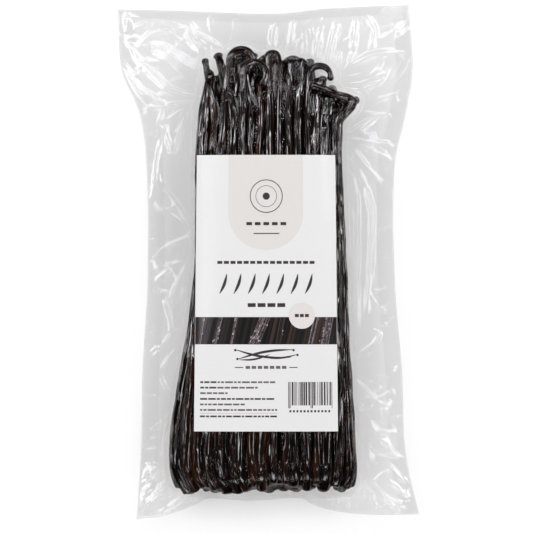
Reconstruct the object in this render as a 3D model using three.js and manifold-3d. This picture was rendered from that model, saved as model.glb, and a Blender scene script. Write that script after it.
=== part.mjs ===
// A clear vacuum-sealed bag of vanilla pods, lying on its back with its label up.
// The film is drawn tight round a flat bundle of pods, so the bag is modelled as one solid:
// the bundle with every outer pod showing through the film, and the two films lying together round it.
// A paper label lies on the front. Millimetres; X runs across the bag, Y from the pods' feet to their
// hooked stem ends, and Z up. The origin is under the middle of the bag, on the surface it lies on.
import * as THREE from "three";
import { mergeVertices } from "three/addons/utils/BufferGeometryUtils.js";
import Module from "manifold-3d";

// The bag's left and right edges, drawn in at the middle where the film goes round the bundle: y, left x, right x.
const SIDE_EDGES = [
  [-108.5, -55.6, 63.96],
  [-80, -53.7, 57.9],
  [-45, -53, 56.3],
  [-8, -51, 53.3],
  [40, -51.4, 53.2],
  [62, -54.2, 57.8],
  [81, -61.9, 60.8],
  [108.5, -63.6, 59.3],
];
// The open end's edge, heat sealed: x, y.
const TOP_EDGE = [
  [-63.5, 106.9],
  [-34, 106],
  [3, 104.7],
  [24, 106.8],
  [59.3, 108.5],
];
// The bottom edge, lifted at the middle where the film turns up round the pods' feet: x, y.
const BOTTOM_EDGE = [
  [-55.6, -108.5],
  [-45, -107.2],
  [-32, -103],
  [-26, -99.8],
  [-8, -100.6],
  [14, -99.6],
  [19, -102.4],
  [30, -105.2],
  [44, -106.5],
  [63.5, -106.4],
];
// The bundle, from its feet to its heads: y, left x, right x, height of its middle, half its thickness.
const BUNDLE = [
  [-97, -38, 36, 9.1, 5.4],
  [-90, -41.2, 37.2, 9.3, 8.6],
  [-80, -41.9, 37, 9.6, 10.2],
  [-60, -39.8, 36, 10.2, 10.85],
  [-30, -34.6, 34, 10.9, 11.55],
  [0, -31.1, 33, 11.6, 12.25],
  [45, -30.7, 31, 11.8, 12.45],
  [65, -29.2, 31, 11.3, 11],
  [80, -26, 28, 10.7, 7.6],
  [91, -20, 24, 10.3, 4.4],
];
const BUNDLE_SQUARENESS = 3.4; // the exponent of the bundle's rounded section, 2 being an ellipse
const SHOULDER_Y = 58; // above it each pod's stem end takes its own way
const CORE_FOOT_Y = -91;
const CORE_HEAD_Y = 82;
const CORE_SIDES = 36;

const RING_PODS = 36; // pods round the outside of the bundle
const POD_RADIUS = 2.1;
const POD_FOOT_GAIN = 1.15; // how much thicker a pod is at its foot than at mid length
const POD_HEAD_GAIN = 0.84;
const STEM_GAIN = 0.66; // the thin neck behind the stem end's knob
const KNOB_GAIN = 0.86;
const STEM_LENGTH = 7;
const POD_FOOT_Y = -94;
const FOOT_SPREAD = 2.6; // how far feet differ from one another
const POD_SIDES = 5;
const BODY_STEPS = 4;
const BEND_STEP_DEG = 40;
const CORE_INSET_SHARE = 1.15; // the core's surface lies this many pod radii under the pods' crests

// Stem ends of the front pods, left to right: lean in degrees (positive to the right), length before the bend,
// bend radius, bend in degrees, length after it, and how far it lies over its neighbours.
const FRONT_HEADS = [
  [9, 16, 0, 0, 0, 0],
  [-4, 20, 2, -150, 1, 0.3],
  [-12, 28, 0, 0, 0, 1.4],
  [-4, 19, 4.4, 172, 3, 1.2],
  [-14, 24, 0, 0, 0, 0],
  [6, 22, 3.3, 185, 3, 2.4],
  [2, 17, 0, 0, 0, 0],
  [1, 20, 4, -230, 1, 2.6],
  [-2, 25, 2.7, 165, 5, 1.6],
  [2, 27, 0, 0, 0, 2.2],
  [3, 26, 0, 0, 0, 0.8],
  [1, 29, 0, 0, 0, 1.2],
  [3, 19, 4.1, 200, 2, 0.8],
  [6, 20, 0, 0, 0, 0.3],
  [9, 14, 0, 0, 0, 0],
  [30, 8, 4, 42, 6, 0.8],
  [30, 11, 1.8, -102, 20, 4],
];
const LONG_HEAD = 24; // length of the plain stem ends at the back and the sides
const LONG_HEAD_SPREAD = 6;
const HOOK_SHARE = 0.3; // share of them that end in a hook
const HOOK_RADIUS = 3.2;

const FILM = 0.6; // the two films together, stated thicker than they are
const SEAL_HEIGHT = 9.2; // height at which the two films meet
const EDGE_WAVE = 1.5;
const CORNER_DROOP = 4.6;
const PLEAT = 0.75; // height of the pleats that gather round the bundle
const ACROSS_STEPS = 20;
const ALONG_STEPS = 28;
const BAND_SHARES = [0, 0.45, 0.78, 1];
const INNER_INSET = 4.5; // the films' sheet starts this far inside the bundle
const INNER_FOOT_Y = -85;
const INNER_HEAD_Y = 68;

const LABEL = { x: -1, y: -13.2, width: 59, height: 115.4, thickness: 0.35, gap: 0.45 };
const LABEL_DROOP = 3; // how far its long edges bend down round the bundle
const LABEL_DROOP_POWER = 3.4;
const LABEL_COLUMNS = 12;
const LABEL_ROWS = 8;

const COLOURS = { bag: 0x2b1b17, label: 0xeeedeb };
const SEED = 58;

let seedState = SEED;
// The next number of a fixed random sequence, from 0 to 1.
function draw() {
  seedState = (Math.imul(seedState, 1664525) + 1013904223) >>> 0;
  return seedState / 4294967296;
}

function spread(size) {
  return (draw() * 2 - 1) * size;
}

function clamp(value, low, high) {
  return Math.min(Math.max(value, low), high);
}

// A smooth curve through rows whose first column is the place, read at one column.
function curveAt(rows, place, column) {
  let k = 0;
  while (k < rows.length - 2 && place > rows[k + 1][0]) k++;
  const slope = (i) => {
    const before = rows[Math.max(i - 1, 0)];
    const after = rows[Math.min(i + 1, rows.length - 1)];
    return (after[column] - before[column]) / (after[0] - before[0]);
  };
  const [start, end] = [rows[k], rows[k + 1]];
  const span = end[0] - start[0];
  const t = clamp((place - start[0]) / span, 0, 1);
  const [t2, t3] = [t * t, t * t * t];
  return (
    (2 * t3 - 3 * t2 + 1) * start[column] +
    (t3 - 2 * t2 + t) * span * slope(k) +
    (3 * t2 - 2 * t3) * end[column] +
    (t3 - t2) * span * slope(k + 1)
  );
}

// The bundle's section at y, drawn in by an inset: centre x, half width, middle height and half thickness.
function sectionAt(y, inset) {
  const left = curveAt(BUNDLE, y, 1);
  const right = curveAt(BUNDLE, y, 2);
  return {
    x: (left + right) / 2,
    half: Math.max((right - left) / 2 - inset, 1),
    z: curveAt(BUNDLE, y, 3),
    thick: Math.max(curveAt(BUNDLE, y, 4) - inset, 0.6),
  };
}

// A point of that section by angle, from the left side over the top to the right side and back underneath.
function sectionPoint(section, angle) {
  const power = 2 / BUNDLE_SQUARENESS;
  const [c, s] = [-Math.cos(angle), Math.sin(angle)];
  return [
    section.x + section.half * Math.sign(c) * Math.abs(c) ** power,
    section.z + section.thick * Math.sign(s) * Math.abs(s) ** power,
  ];
}

// A point at a share of the way round the section, by length.
function roundSection(section, share) {
  const steps = 240;
  const points = [];
  const lengths = [0];
  for (let k = 0; k <= steps; k++) {
    points.push(sectionPoint(section, (k / steps) * 2 * Math.PI));
    if (k) lengths.push(lengths[k - 1] + Math.hypot(points[k][0] - points[k - 1][0], points[k][1] - points[k - 1][1]));
  }
  const wanted = (((share % 1) + 1) % 1) * lengths[steps];
  let k = 1;
  while (k < steps && lengths[k] < wanted) k++;
  const t = (wanted - lengths[k - 1]) / Math.max(lengths[k] - lengths[k - 1], 1e-9);
  return [
    points[k - 1][0] + t * (points[k][0] - points[k - 1][0]),
    points[k - 1][1] + t * (points[k][1] - points[k - 1][1]),
  ];
}

// Height of the section's upper side (side 1) or underside (side -1) at x.
function sectionHeight(section, x, side) {
  const reach = clamp(Math.abs(x - section.x) / section.half, 0, 1);
  return section.z + side * section.thick * (1 - reach ** BUNDLE_SQUARENESS) ** (1 / BUNDLE_SQUARENESS);
}

// A closed tube through points with a radius at each, its ends domed and an edge of it facing out of the bundle.
function podMesh(points, radii, isBack) {
  const vertices = [];
  const faces = [];
  const up = new THREE.Vector3(0, 0, 1);
  points.forEach((point, i) => {
    const ahead = points[Math.min(i + 1, points.length - 1)];
    const behind = points[Math.max(i - 1, 0)];
    const along = new THREE.Vector3().subVectors(ahead, behind).normalize();
    const side = new THREE.Vector3().crossVectors(along, up).normalize();
    const over = new THREE.Vector3().crossVectors(side, along);
    for (let k = 0; k < POD_SIDES; k++) {
      const a = (k / POD_SIDES) * 2 * Math.PI + (isBack ? -1 : 1) * (Math.PI / 2);
      vertices.push(
        point
          .clone()
          .addScaledVector(side, Math.cos(a) * radii[i])
          .addScaledVector(over, Math.sin(a) * radii[i]),
      );
    }
  });
  for (let i = 0; i < points.length - 1; i++)
    for (let k = 0; k < POD_SIDES; k++) {
      const next = (k + 1) % POD_SIDES;
      const [a, b] = [i * POD_SIDES + k, i * POD_SIDES + next];
      const [c, d] = [a + POD_SIDES, b + POD_SIDES];
      faces.push([a, d, b], [a, c, d]);
    }
  [0, points.length - 1].forEach((i, isLast) => {
    const inner = points[isLast ? i - 1 : 1];
    const tip = new THREE.Vector3().subVectors(points[i], inner).setLength(radii[i] * 0.5).add(points[i]);
    vertices.push(tip);
    const centre = vertices.length - 1;
    for (let k = 0; k < POD_SIDES; k++) {
      const [a, b] = [i * POD_SIDES + k, i * POD_SIDES + ((k + 1) % POD_SIDES)];
      faces.push(isLast ? [b, a, centre] : [a, b, centre]);
    }
  });
  return { vertices, faces };
}

// One outer pod: its body follows the bundle's section, and its stem end leans, bends and lies as its head says.
function ringPod(index) {
  const share = index / RING_PODS;
  const isFront = index > 0 && index < RING_PODS / 2;
  const side = isFront ? 1 : index > RING_PODS / 2 ? -1 : 0;
  const slant = spread(0.004);
  const girth = POD_RADIUS * (1 + spread(0.07));
  const footY = POD_FOOT_Y + spread(FOOT_SPREAD);
  const hooked = draw() < HOOK_SHARE;
  const plain = [
    spread(7),
    LONG_HEAD + spread(LONG_HEAD_SPREAD) - (hooked ? HOOK_RADIUS : 0),
    hooked ? HOOK_RADIUS + spread(0.8) : 0,
    hooked ? 175 * (draw() < 0.5 ? -1 : 1) : 0,
    hooked ? 2 : 0,
    0,
  ];
  const [lean, run, bendRadius, bend, tail, lift] = isFront ? FRONT_HEADS[index - 1] : plain;
  const points = [];
  const radii = [];
  const gainAt = (y) => {
    const t = clamp((y - POD_FOOT_Y) / (SHOULDER_Y - POD_FOOT_Y), 0, 1);
    return POD_FOOT_GAIN + (POD_HEAD_GAIN - POD_FOOT_GAIN) * t;
  };
  for (let k = 0; k <= BODY_STEPS; k++) {
    const y = footY + ((SHOULDER_Y - footY) * k) / BODY_STEPS;
    const radius = girth * gainAt(y) * (k ? 1 : 0.72);
    const [x, z] = roundSection(sectionAt(y, girth * gainAt(y)), share + slant * (1 - k / BODY_STEPS));
    points.push(new THREE.Vector3(x, y, z));
    radii.push(radius);
  }
  const start = points[points.length - 1];
  let [x, y, heading, gone] = [start.x, start.y, 0, 0];
  const whole = run + (bendRadius * Math.abs(bend) * Math.PI) / 180 + tail;
  const walk = (length, turn) => {
    heading += turn / 2;
    x += Math.sin((heading * Math.PI) / 180) * length;
    y += Math.cos((heading * Math.PI) / 180) * length;
    heading += turn / 2;
    gone += length;
    const toEnd = whole - gone;
    const stem = 1 - clamp(toEnd / STEM_LENGTH, 0, 1);
    const thin = THREE.MathUtils.lerp(POD_HEAD_GAIN, STEM_GAIN, Math.sin(stem * Math.PI * 0.5));
    const radius = girth * (toEnd < 0.01 ? KNOB_GAIN : thin);
    const section = sectionAt(clamp(y, -97, 91), radius);
    const lain = side === 0 ? start.z + (section.z - sectionAt(SHOULDER_Y, radius).z) : sectionHeight(section, x, side);
    points.push(new THREE.Vector3(x, y, lain + lift * clamp(gone / Math.max(run, 1), 0, 1)));
    radii.push(radius);
  };
  walk(run * 0.45, lean);
  walk(run * 0.35, 0);
  walk(run * 0.2, 0);
  const turns = Math.ceil(Math.abs(bend) / BEND_STEP_DEG);
  for (let k = 0; k < turns; k++) walk((bendRadius * Math.abs(bend) * Math.PI) / 180 / turns, bend / turns);
  if (tail) walk(tail, 0);
  return podMesh(points, radii, side < 0);
}

// The solid inside the ring of pods.
function core() {
  const vertices = [];
  const faces = [];
  const stations = [CORE_FOOT_Y, -56, -18, 20, 58, CORE_HEAD_Y];
  for (const y of stations) {
    const gain = THREE.MathUtils.mapLinear(y, POD_FOOT_Y, SHOULDER_Y, POD_FOOT_GAIN, POD_HEAD_GAIN);
    const section = sectionAt(y, POD_RADIUS * gain * CORE_INSET_SHARE);
    for (let k = 0; k < CORE_SIDES; k++) {
      const [x, z] = roundSection(section, k / CORE_SIDES);
      vertices.push(new THREE.Vector3(x, y, z));
    }
  }
  const rows = stations.length;
  for (let i = 0; i < rows - 1; i++)
    for (let k = 0; k < CORE_SIDES; k++) {
      const next = (k + 1) % CORE_SIDES;
      const [a, b] = [i * CORE_SIDES + k, i * CORE_SIDES + next];
      faces.push([a, b, b + CORE_SIDES], [a, b + CORE_SIDES, a + CORE_SIDES]);
    }
  for (const [i, isLast] of [[0, false], [rows - 1, true]]) {
    const section = sectionAt(stations[i], 0);
    vertices.push(new THREE.Vector3(section.x, stations[i], section.z));
    const centre = vertices.length - 1;
    for (let k = 0; k < CORE_SIDES; k++) {
      const [a, b] = [i * CORE_SIDES + k, i * CORE_SIDES + ((k + 1) % CORE_SIDES)];
      faces.push(isLast ? [a, b, centre] : [b, a, centre]);
    }
  }
  return { vertices, faces };
}

// How far a point lies outside the bundle, seen from above.
function outside(x, y) {
  const dx = Math.max(curveAt(BUNDLE, clamp(y, -97, 91), 1) - x, x - curveAt(BUNDLE, clamp(y, -97, 91), 2), 0);
  const dy = Math.max(y - 84, POD_FOOT_Y - y, 0);
  return Math.hypot(dx, dy);
}

// Height of the middle of the two films where they lie together: long waves, drooping corners and pleats.
function filmHeight(x, y, pleatAngle) {
  const away = THREE.MathUtils.smoothstep(outside(x, y), 1, 20);
  const corner = THREE.MathUtils.smoothstep(Math.abs(x) / 60, 0.7, 1.06) * THREE.MathUtils.smoothstep(Math.abs(y) / 106, 0.72, 1.02);
  const wave = Math.sin(y / 17 + x / 30) + 0.6 * Math.sin(y / 7.5 - x / 12 + 1);
  return SEAL_HEIGHT + EDGE_WAVE * wave * away - CORNER_DROOP * corner + PLEAT * Math.sin(pleatAngle) * away * (1 - 0.5 * away);
}

// The sheet of the two films, from inside the bundle out to the bag's edge.
function filmSheet() {
  const loop = [];
  const across = (k) => k / ACROSS_STEPS;
  const along = (k) => k / ALONG_STEPS;
  const lerp = THREE.MathUtils.lerp;
  const left = (y) => curveAt(SIDE_EDGES, y, 1);
  const right = (y) => curveAt(SIDE_EDGES, y, 2);
  const innerX = (y, column, sign) => curveAt(BUNDLE, y, column) + sign * INNER_INSET;
  for (let k = 0; k < ACROSS_STEPS; k++) {
    const x = lerp(BOTTOM_EDGE[0][0], BOTTOM_EDGE[BOTTOM_EDGE.length - 1][0], across(k));
    const inner = lerp(innerX(INNER_FOOT_Y, 1, 1), innerX(INNER_FOOT_Y, 2, -1), across(k));
    loop.push([x, curveAt(BOTTOM_EDGE, x, 1), inner, INNER_FOOT_Y]);
  }
  const bottomRight = BOTTOM_EDGE[BOTTOM_EDGE.length - 1][1];
  const topRight = TOP_EDGE[TOP_EDGE.length - 1][1];
  for (let k = 0; k < ALONG_STEPS; k++) {
    const y = lerp(bottomRight, topRight, along(k));
    const inner = lerp(INNER_FOOT_Y, INNER_HEAD_Y, along(k));
    loop.push([right(y), y, innerX(inner, 2, -1), inner]);
  }
  for (let k = 0; k < ACROSS_STEPS; k++) {
    const x = lerp(TOP_EDGE[TOP_EDGE.length - 1][0], TOP_EDGE[0][0], across(k));
    const inner = lerp(innerX(INNER_HEAD_Y, 2, -1), innerX(INNER_HEAD_Y, 1, 1), across(k));
    loop.push([x, curveAt(TOP_EDGE, x, 1), inner, INNER_HEAD_Y]);
  }
  const [topLeft, bottomLeft] = [TOP_EDGE[0][1], BOTTOM_EDGE[0][1]];
  for (let k = 0; k < ALONG_STEPS; k++) {
    const y = lerp(topLeft, bottomLeft, along(k));
    const inner = lerp(INNER_HEAD_Y, INNER_FOOT_Y, along(k));
    loop.push([left(y), y, innerX(inner, 1, 1), inner]);
  }
  const vertices = [];
  for (const face of [1, -1])
    for (const share of BAND_SHARES)
      loop.forEach(([ox, oy, ix, iy], k) => {
        const [x, y] = [lerp(ix, ox, share), lerp(iy, oy, share)];
        vertices.push(new THREE.Vector3(x, y, filmHeight(x, y, k * 1.26) + (face * FILM) / 2));
      });
  const [count, bands] = [loop.length, BAND_SHARES.length];
  const at = (face, band, k) => (face * bands + band) * count + (k % count);
  const faces = [];
  for (let k = 0; k < count; k++) {
    for (let band = 0; band < bands - 1; band++) {
      const [a, b] = [at(0, band, k), at(0, band, k + 1)];
      const [c, d] = [at(0, band + 1, k), at(0, band + 1, k + 1)];
      faces.push([a, c, d], [a, d, b]);
      const under = count * bands;
      faces.push([a + under, d + under, c + under], [a + under, b + under, d + under]);
    }
    const rim = bands - 1;
    faces.push([at(0, rim, k), at(1, rim, k), at(1, rim, k + 1)], [at(0, rim, k), at(1, rim, k + 1), at(0, rim, k + 1)]);
    faces.push([at(0, 0, k), at(1, 0, k + 1), at(1, 0, k)], [at(0, 0, k), at(0, 0, k + 1), at(1, 0, k + 1)]);
  }
  return { vertices, faces };
}

// The label: a thin sheet that bends down round the bundle at its long edges.
function labelSheet() {
  const height = (x, y) => {
    const section = sectionAt(y, 0);
    const reach = Math.abs(x - LABEL.x) / (LABEL.width / 2);
    const stiff = section.z + section.thick - LABEL_DROOP * reach ** LABEL_DROOP_POWER;
    return Math.max(stiff, sectionHeight(section, x, 1)) + LABEL.gap;
  };
  const vertices = [];
  for (const lift of [LABEL.thickness, 0])
    for (let j = 0; j <= LABEL_ROWS; j++)
      for (let i = 0; i <= LABEL_COLUMNS; i++) {
        const x = LABEL.x + LABEL.width * (i / LABEL_COLUMNS - 0.5);
        const y = LABEL.y + LABEL.height * (j / LABEL_ROWS - 0.5);
        vertices.push(new THREE.Vector3(x, y, height(x, y) + lift));
      }
  const row = LABEL_COLUMNS + 1;
  const under = row * (LABEL_ROWS + 1);
  const faces = [];
  for (let j = 0; j < LABEL_ROWS; j++)
    for (let i = 0; i < LABEL_COLUMNS; i++) {
      const [a, b, c, d] = [j * row + i, j * row + i + 1, (j + 1) * row + i, (j + 1) * row + i + 1];
      faces.push([a, b, d], [a, d, c], [a + under, d + under, b + under], [a + under, c + under, d + under]);
    }
  const rim = (a, b) => faces.push([a, a + under, b + under], [a, b + under, b]);
  for (let i = 0; i < LABEL_COLUMNS; i++) {
    rim(i, i + 1);
    rim(LABEL_ROWS * row + i + 1, LABEL_ROWS * row + i);
  }
  for (let j = 0; j < LABEL_ROWS; j++) {
    rim((j + 1) * row, j * row);
    rim(j * row + LABEL_COLUMNS, (j + 1) * row + LABEL_COLUMNS);
  }
  return { vertices, faces };
}

const wasm = await Module();
wasm.setup();

function solidOf({ vertices, faces }) {
  return new wasm.Manifold(
    new wasm.Mesh({
      numProp: 3,
      vertProperties: new Float32Array(vertices.flatMap((v) => [v.x, v.y, v.z])),
      triVerts: new Uint32Array(faces.flat()),
    }),
  );
}

// A box as a solid, to cut the bag flat where it lies on the table.
function boxSolid(width, depth, height, z) {
  const box = new THREE.BoxGeometry(width, depth, height).translate(0, 0, z);
  box.deleteAttribute("normal");
  box.deleteAttribute("uv");
  const merged = mergeVertices(box);
  return new wasm.Manifold(
    new wasm.Mesh({
      numProp: 3,
      vertProperties: new Float32Array(merged.attributes.position.array),
      triVerts: new Uint32Array(merged.index.array),
    }),
  );
}

// The largest body of a solid: sealed hollows are filled and loose scraps dropped.
function wholeOf(solid) {
  return solid.decompose().reduce((best, body) => (body.volume() > best.volume() ? body : best));
}

function namedMesh(name, solid, colour, roughness) {
  const { vertProperties, triVerts, numProp } = solid.getMesh();
  const geometry = new THREE.BufferGeometry();
  const position = new Float32Array((vertProperties.length / numProp) * 3);
  for (let i = 0; i < position.length / 3; i++)
    for (let k = 0; k < 3; k++) position[i * 3 + k] = vertProperties[i * numProp + k];
  geometry.setAttribute("position", new THREE.BufferAttribute(position, 3));
  geometry.setIndex(new THREE.BufferAttribute(new Uint32Array(triVerts), 1));
  geometry.computeVertexNormals();
  const mesh = new THREE.Mesh(geometry, new THREE.MeshStandardMaterial({ color: colour, roughness, metalness: 0 }));
  mesh.name = name;
  return mesh;
}

// The bag: the films' sheet, the core and the ring of pods as one body, flat where it rests.
function bag() {
  const pieces = [solidOf(filmSheet()), solidOf(core())];
  for (let index = 0; index < RING_PODS; index++) pieces.push(solidOf(ringPod(index)));
  const joined = wasm.Manifold.union(pieces);
  const floorCut = boxSolid(300, 300, 20, -10);
  return wholeOf(joined.subtract(floorCut).simplify(0.06));
}

const pack = new THREE.Group();
pack.name = "vanilla_pod_pack";
pack.add(namedMesh("sealed_bag", bag(), COLOURS.bag, 0.3));
pack.add(namedMesh("label", solidOf(labelSheet()), COLOURS.label, 0.45));

export default pack;
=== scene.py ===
"""Dresses a vacuum pack of vanilla pods: pods, clear film drawn tight round them, and a paper label.

The bag lies on its back. X runs across it, Y from the pods' feet to their hooked stem ends, and Z up.
"""

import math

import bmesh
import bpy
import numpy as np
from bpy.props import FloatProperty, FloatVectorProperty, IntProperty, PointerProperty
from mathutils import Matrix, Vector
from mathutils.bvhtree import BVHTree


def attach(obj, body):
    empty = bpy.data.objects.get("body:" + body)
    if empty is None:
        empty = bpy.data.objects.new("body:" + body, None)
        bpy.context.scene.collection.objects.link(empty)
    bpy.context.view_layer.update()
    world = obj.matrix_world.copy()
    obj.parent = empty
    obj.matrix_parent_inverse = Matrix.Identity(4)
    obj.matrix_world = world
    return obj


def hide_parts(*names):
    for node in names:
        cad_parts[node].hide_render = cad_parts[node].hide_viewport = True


bl_info = {
    "name": "Vanilla Pod Pack",
    "version": (1, 0, 0),
    "blender": (4, 5, 0),
    "location": "3D View > Sidebar > Vanilla Pack",
    "description": "Adds the pods, film, label and stage of a vacuum pack of vanilla pods",
    "category": "Object",
}

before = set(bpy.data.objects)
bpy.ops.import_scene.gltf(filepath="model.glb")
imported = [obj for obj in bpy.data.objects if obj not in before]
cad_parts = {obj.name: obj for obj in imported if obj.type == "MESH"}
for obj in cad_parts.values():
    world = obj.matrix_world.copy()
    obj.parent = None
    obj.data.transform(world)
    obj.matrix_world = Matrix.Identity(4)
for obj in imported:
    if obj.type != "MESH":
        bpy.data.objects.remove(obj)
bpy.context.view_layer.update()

MM = 0.001

# The bag's left and right edges: y, left x, right x.
SIDE_EDGES = MM * np.array([
    (-108.5, -55.6, 63.96),
    (-80, -53.7, 57.9),
    (-45, -53, 56.3),
    (-8, -51, 53.3),
    (40, -51.4, 53.2),
    (62, -54.2, 57.8),
    (81, -61.9, 60.8),
    (108.5, -63.6, 59.3),
])
# The heat-sealed top edge: x, y.
TOP_EDGE = MM * np.array([(-63.5, 106.9), (-34, 106), (3, 104.7), (24, 106.8), (59.3, 108.5)])
# The bottom edge, lifted at the middle where the film turns up round the pods' feet: x, y.
BOTTOM_EDGE = MM * np.array([
    (-55.6, -108.5),
    (-45, -107.2),
    (-32, -103),
    (-26, -99.8),
    (-8, -100.6),
    (14, -99.6),
    (19, -102.4),
    (30, -105.2),
    (44, -106.5),
    (63.5, -106.4),
])
# The bundle, from its feet to its heads: y, left x, right x, height of its middle, half its thickness.
BUNDLE = MM * np.array([
    (-97, -38, 36, 9.1, 5.4),
    (-90, -41.2, 37.2, 9.3, 8.6),
    (-80, -41.9, 37, 9.6, 10.2),
    (-60, -39.8, 36, 10.2, 10.85),
    (-30, -34.6, 34, 10.9, 11.55),
    (0, -31.1, 33, 11.6, 12.25),
    (45, -30.7, 31, 11.8, 12.45),
    (65, -29.2, 31, 11.3, 11),
    (80, -26, 28, 10.7, 7.6),
    (91, -20, 24, 10.3, 4.4),
])
SQUARENESS = 3.4  # the exponent of the bundle's rounded section, 2 being an ellipse
SHOULDER_Y = 58 * MM  # above it each pod's stem end takes its own way
FOOT_Y = -95.3 * MM

# Stem ends of the front pods, left to right: lean in degrees (positive to the right), length before the
# bend, bend radius, bend in degrees, length after it, and how far it lies over its neighbours. Lengths
# are in millimetres.
FRONT_HEADS = (
    (12, 21, 1.2, -120, 0.6, 0.4),
    (5, 22, 0, 0, 0, 0),
    (-11, 29, 0, 0, 0, 1.4),
    (7, 27, 4.9, 190, 3, 2),
    (-16, 31.5, 0, 0, 0, 2.2),
    (1, 21, 4.6, 200, 4, 2.6),
    (-8, 25, 0, 0, 0, 0),
    (-1, 18, 0, 0, 0, 0.5),
    (-2, 28, 2, 165, 6, 1.6),
    (2, 26.5, 0, 0, 0, 2.2),
    (3, 28, 0, 0, 0, 0.8),
    (5, 28, 0, 0, 0, 1.2),
    (3, 20.5, 4.6, 185, 1, 1.2),
    (5, 20, 0, 0, 0, 0.3),
    (9, 14, 0, 0, 0, 0),
    (30, 8, 4, 42, 6, 0.8),
    (45, 9.5, 2.4, -118, 17, 4),
)
# Lean and length of straight stem ends at the bundle's two sides, by their place in the ring.
SIDE_HEADS = {35: (17, 13), 0: (27, 15), 18: (2, 11), 19: (4, 13), 20: (0, 17), 21: (-2, 21)}
# The same for some pods of the layer under them, which show dark through the loops.
BEHIND_HEADS = {3: (6, 30.8), 4: (3, 31), 5: (2, 31), 6: (6, 29.5), 8: (-2, 27), 11: (2, 26)}
RING_PODS = 36
PACK_SEED = 58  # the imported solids' own
# The outer pods in three pieces: name, first place in the ring, and the place after the last.
RING_PIECES = (("pods_left", 0, 10), ("pods_right", 10, 19), ("pods_back", 19, RING_PODS))
# The layers of pods under the outer one: how many pods, and how far in.
INNER_LAYERS = ((30, 3.6 * MM), (18, 7.4 * MM))
FOOT_SPREAD = 2.6
HEAD_LENGTH = 24
HEAD_LENGTH_SPREAD = 6
HOOK_SHARE = 0.3
HOOK_RADIUS = 3.2
FOOT_GAIN = 1.15  # how much thicker a pod is at its foot than at mid length
HEAD_GAIN = 0.84
STEM_GAIN = 0.66
KNOB_GAIN = 1.02
STEM_LENGTH = 7 * MM
KNOB_START = 2.6 * MM  # the knob's start and its full width, from the stem's end
KNOB_FULL = 0.8 * MM
SETTLE_LENGTH = 6 * MM  # over which a stem end leaves the body's height for its own
FREE_LENGTH = 25 * MM  # over which a pod turns its top up before the shoulder
BODY_STEP = 0.8 * MM
HEAD_STEP = 0.35 * MM
POD_WIDTH = 1.06  # a pod's section is a little flat
POD_HEIGHT = 0.97
LEAN_SHARE = 0.45  # the part of a stem end's run over which it leans over
GROOVES = 9  # the deep folds round a pod
GRAIN_RADIUS = 2.2 * MM  # the radius at which the skin's pattern is read
TABLE_GAP = 0.3 * MM  # the pods stay this far above the table, with the film under them

HEADS_Y = 84 * MM  # where the bundle ends for the film
SEAL_HEIGHT = 9.2 * MM  # height at which the two films meet
EDGE_WAVE = 1 * MM
CORNER_DROOP = 1.6 * MM
FILM_FLOOR = 0.02 * MM
FILM_HALF = 0.06 * MM  # half of the two films' thickness where they are sealed
FILM_PART = 0.12 * MM  # how much further each lies from the middle inside the seal
RIPPLE = 0.1 * MM
BACK_CREASES = 0.45  # the back film's creases as a share of the front's
PULL_STEPS = 160
NOTCH_DEPTH = 1.1 * MM  # the tear notches in the side edges
NOTCH_HALF = 0.9 * MM
NOTCH_LEFT_Y = 96.6 * MM
NOTCH_RIGHT_Y = 98.8 * MM

# The photograph's frame, 533 pixels square.
FRAME_PX = 533
MIDDLE_PX = (268.4, 261.9)  # where the bag's middle shows
MM_A_PX = 0.42


class Draw:
    """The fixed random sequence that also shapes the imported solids."""

    def __init__(self, seed):
        self.state = seed

    def next(self):
        """The sequence's next number, from 0 to 1."""
        self.state = (self.state * 1664525 + 1013904223) % 2**32
        return self.state / 2**32

    def spread(self, size):
        """A number from minus size to size."""
        return (self.next() * 2 - 1) * size


def srgb(code):
    """A linear colour from a web colour such as 2b1b17."""
    parts = [int(code[i : i + 2], 16) / 255 for i in (0, 2, 4)]
    return tuple(c / 12.92 if c <= 0.04045 else ((c + 0.055) / 1.055) ** 2.4 for c in parts)


def smooth(value, low, high):
    """0 below low, 1 above high, and a smooth step between."""
    t = np.clip((np.asarray(value, float) - low) / (high - low), 0, 1)
    return t * t * (3 - 2 * t)


def at_px(px, py):
    """The place on the bag, in metres, that shows at a pixel of the photograph."""
    return (px - MIDDLE_PX[0]) * MM_A_PX * MM, (MIDDLE_PX[1] - py) * MM_A_PX * MM


def curve_at(rows, place, column):
    """A smooth curve through rows whose first column is the place, read at one column."""
    place = np.asarray(place, float)
    last = len(rows) - 1
    slopes = [
        (rows[min(i + 1, last), column] - rows[max(i - 1, 0), column])
        / (rows[min(i + 1, last), 0] - rows[max(i - 1, 0), 0])
        for i in range(last + 1)
    ]
    slopes = np.array(slopes)
    k = np.clip(np.searchsorted(rows[:, 0], place) - 1, 0, last - 1)
    span = rows[k + 1, 0] - rows[k, 0]
    t = np.clip((place - rows[k, 0]) / span, 0, 1)
    t2, t3 = t * t, t * t * t
    start = (2 * t3 - 3 * t2 + 1) * rows[k, column] + (t3 - 2 * t2 + t) * span * slopes[k]
    return start + (3 * t2 - 2 * t3) * rows[k + 1, column] + (t3 - t2) * span * slopes[k + 1]


def section_at(y, inset):
    """The bundle's section at y, drawn in: centre x, half width, middle height, half thickness."""
    y = np.clip(y, BUNDLE[0, 0], BUNDLE[-1, 0])
    left = curve_at(BUNDLE, y, 1)
    right = curve_at(BUNDLE, y, 2)
    half = np.maximum((right - left) / 2 - inset, 1 * MM)
    thick = np.maximum(curve_at(BUNDLE, y, 4) - inset, 0.6 * MM)
    return (left + right) / 2, half, curve_at(BUNDLE, y, 3), thick


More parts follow.
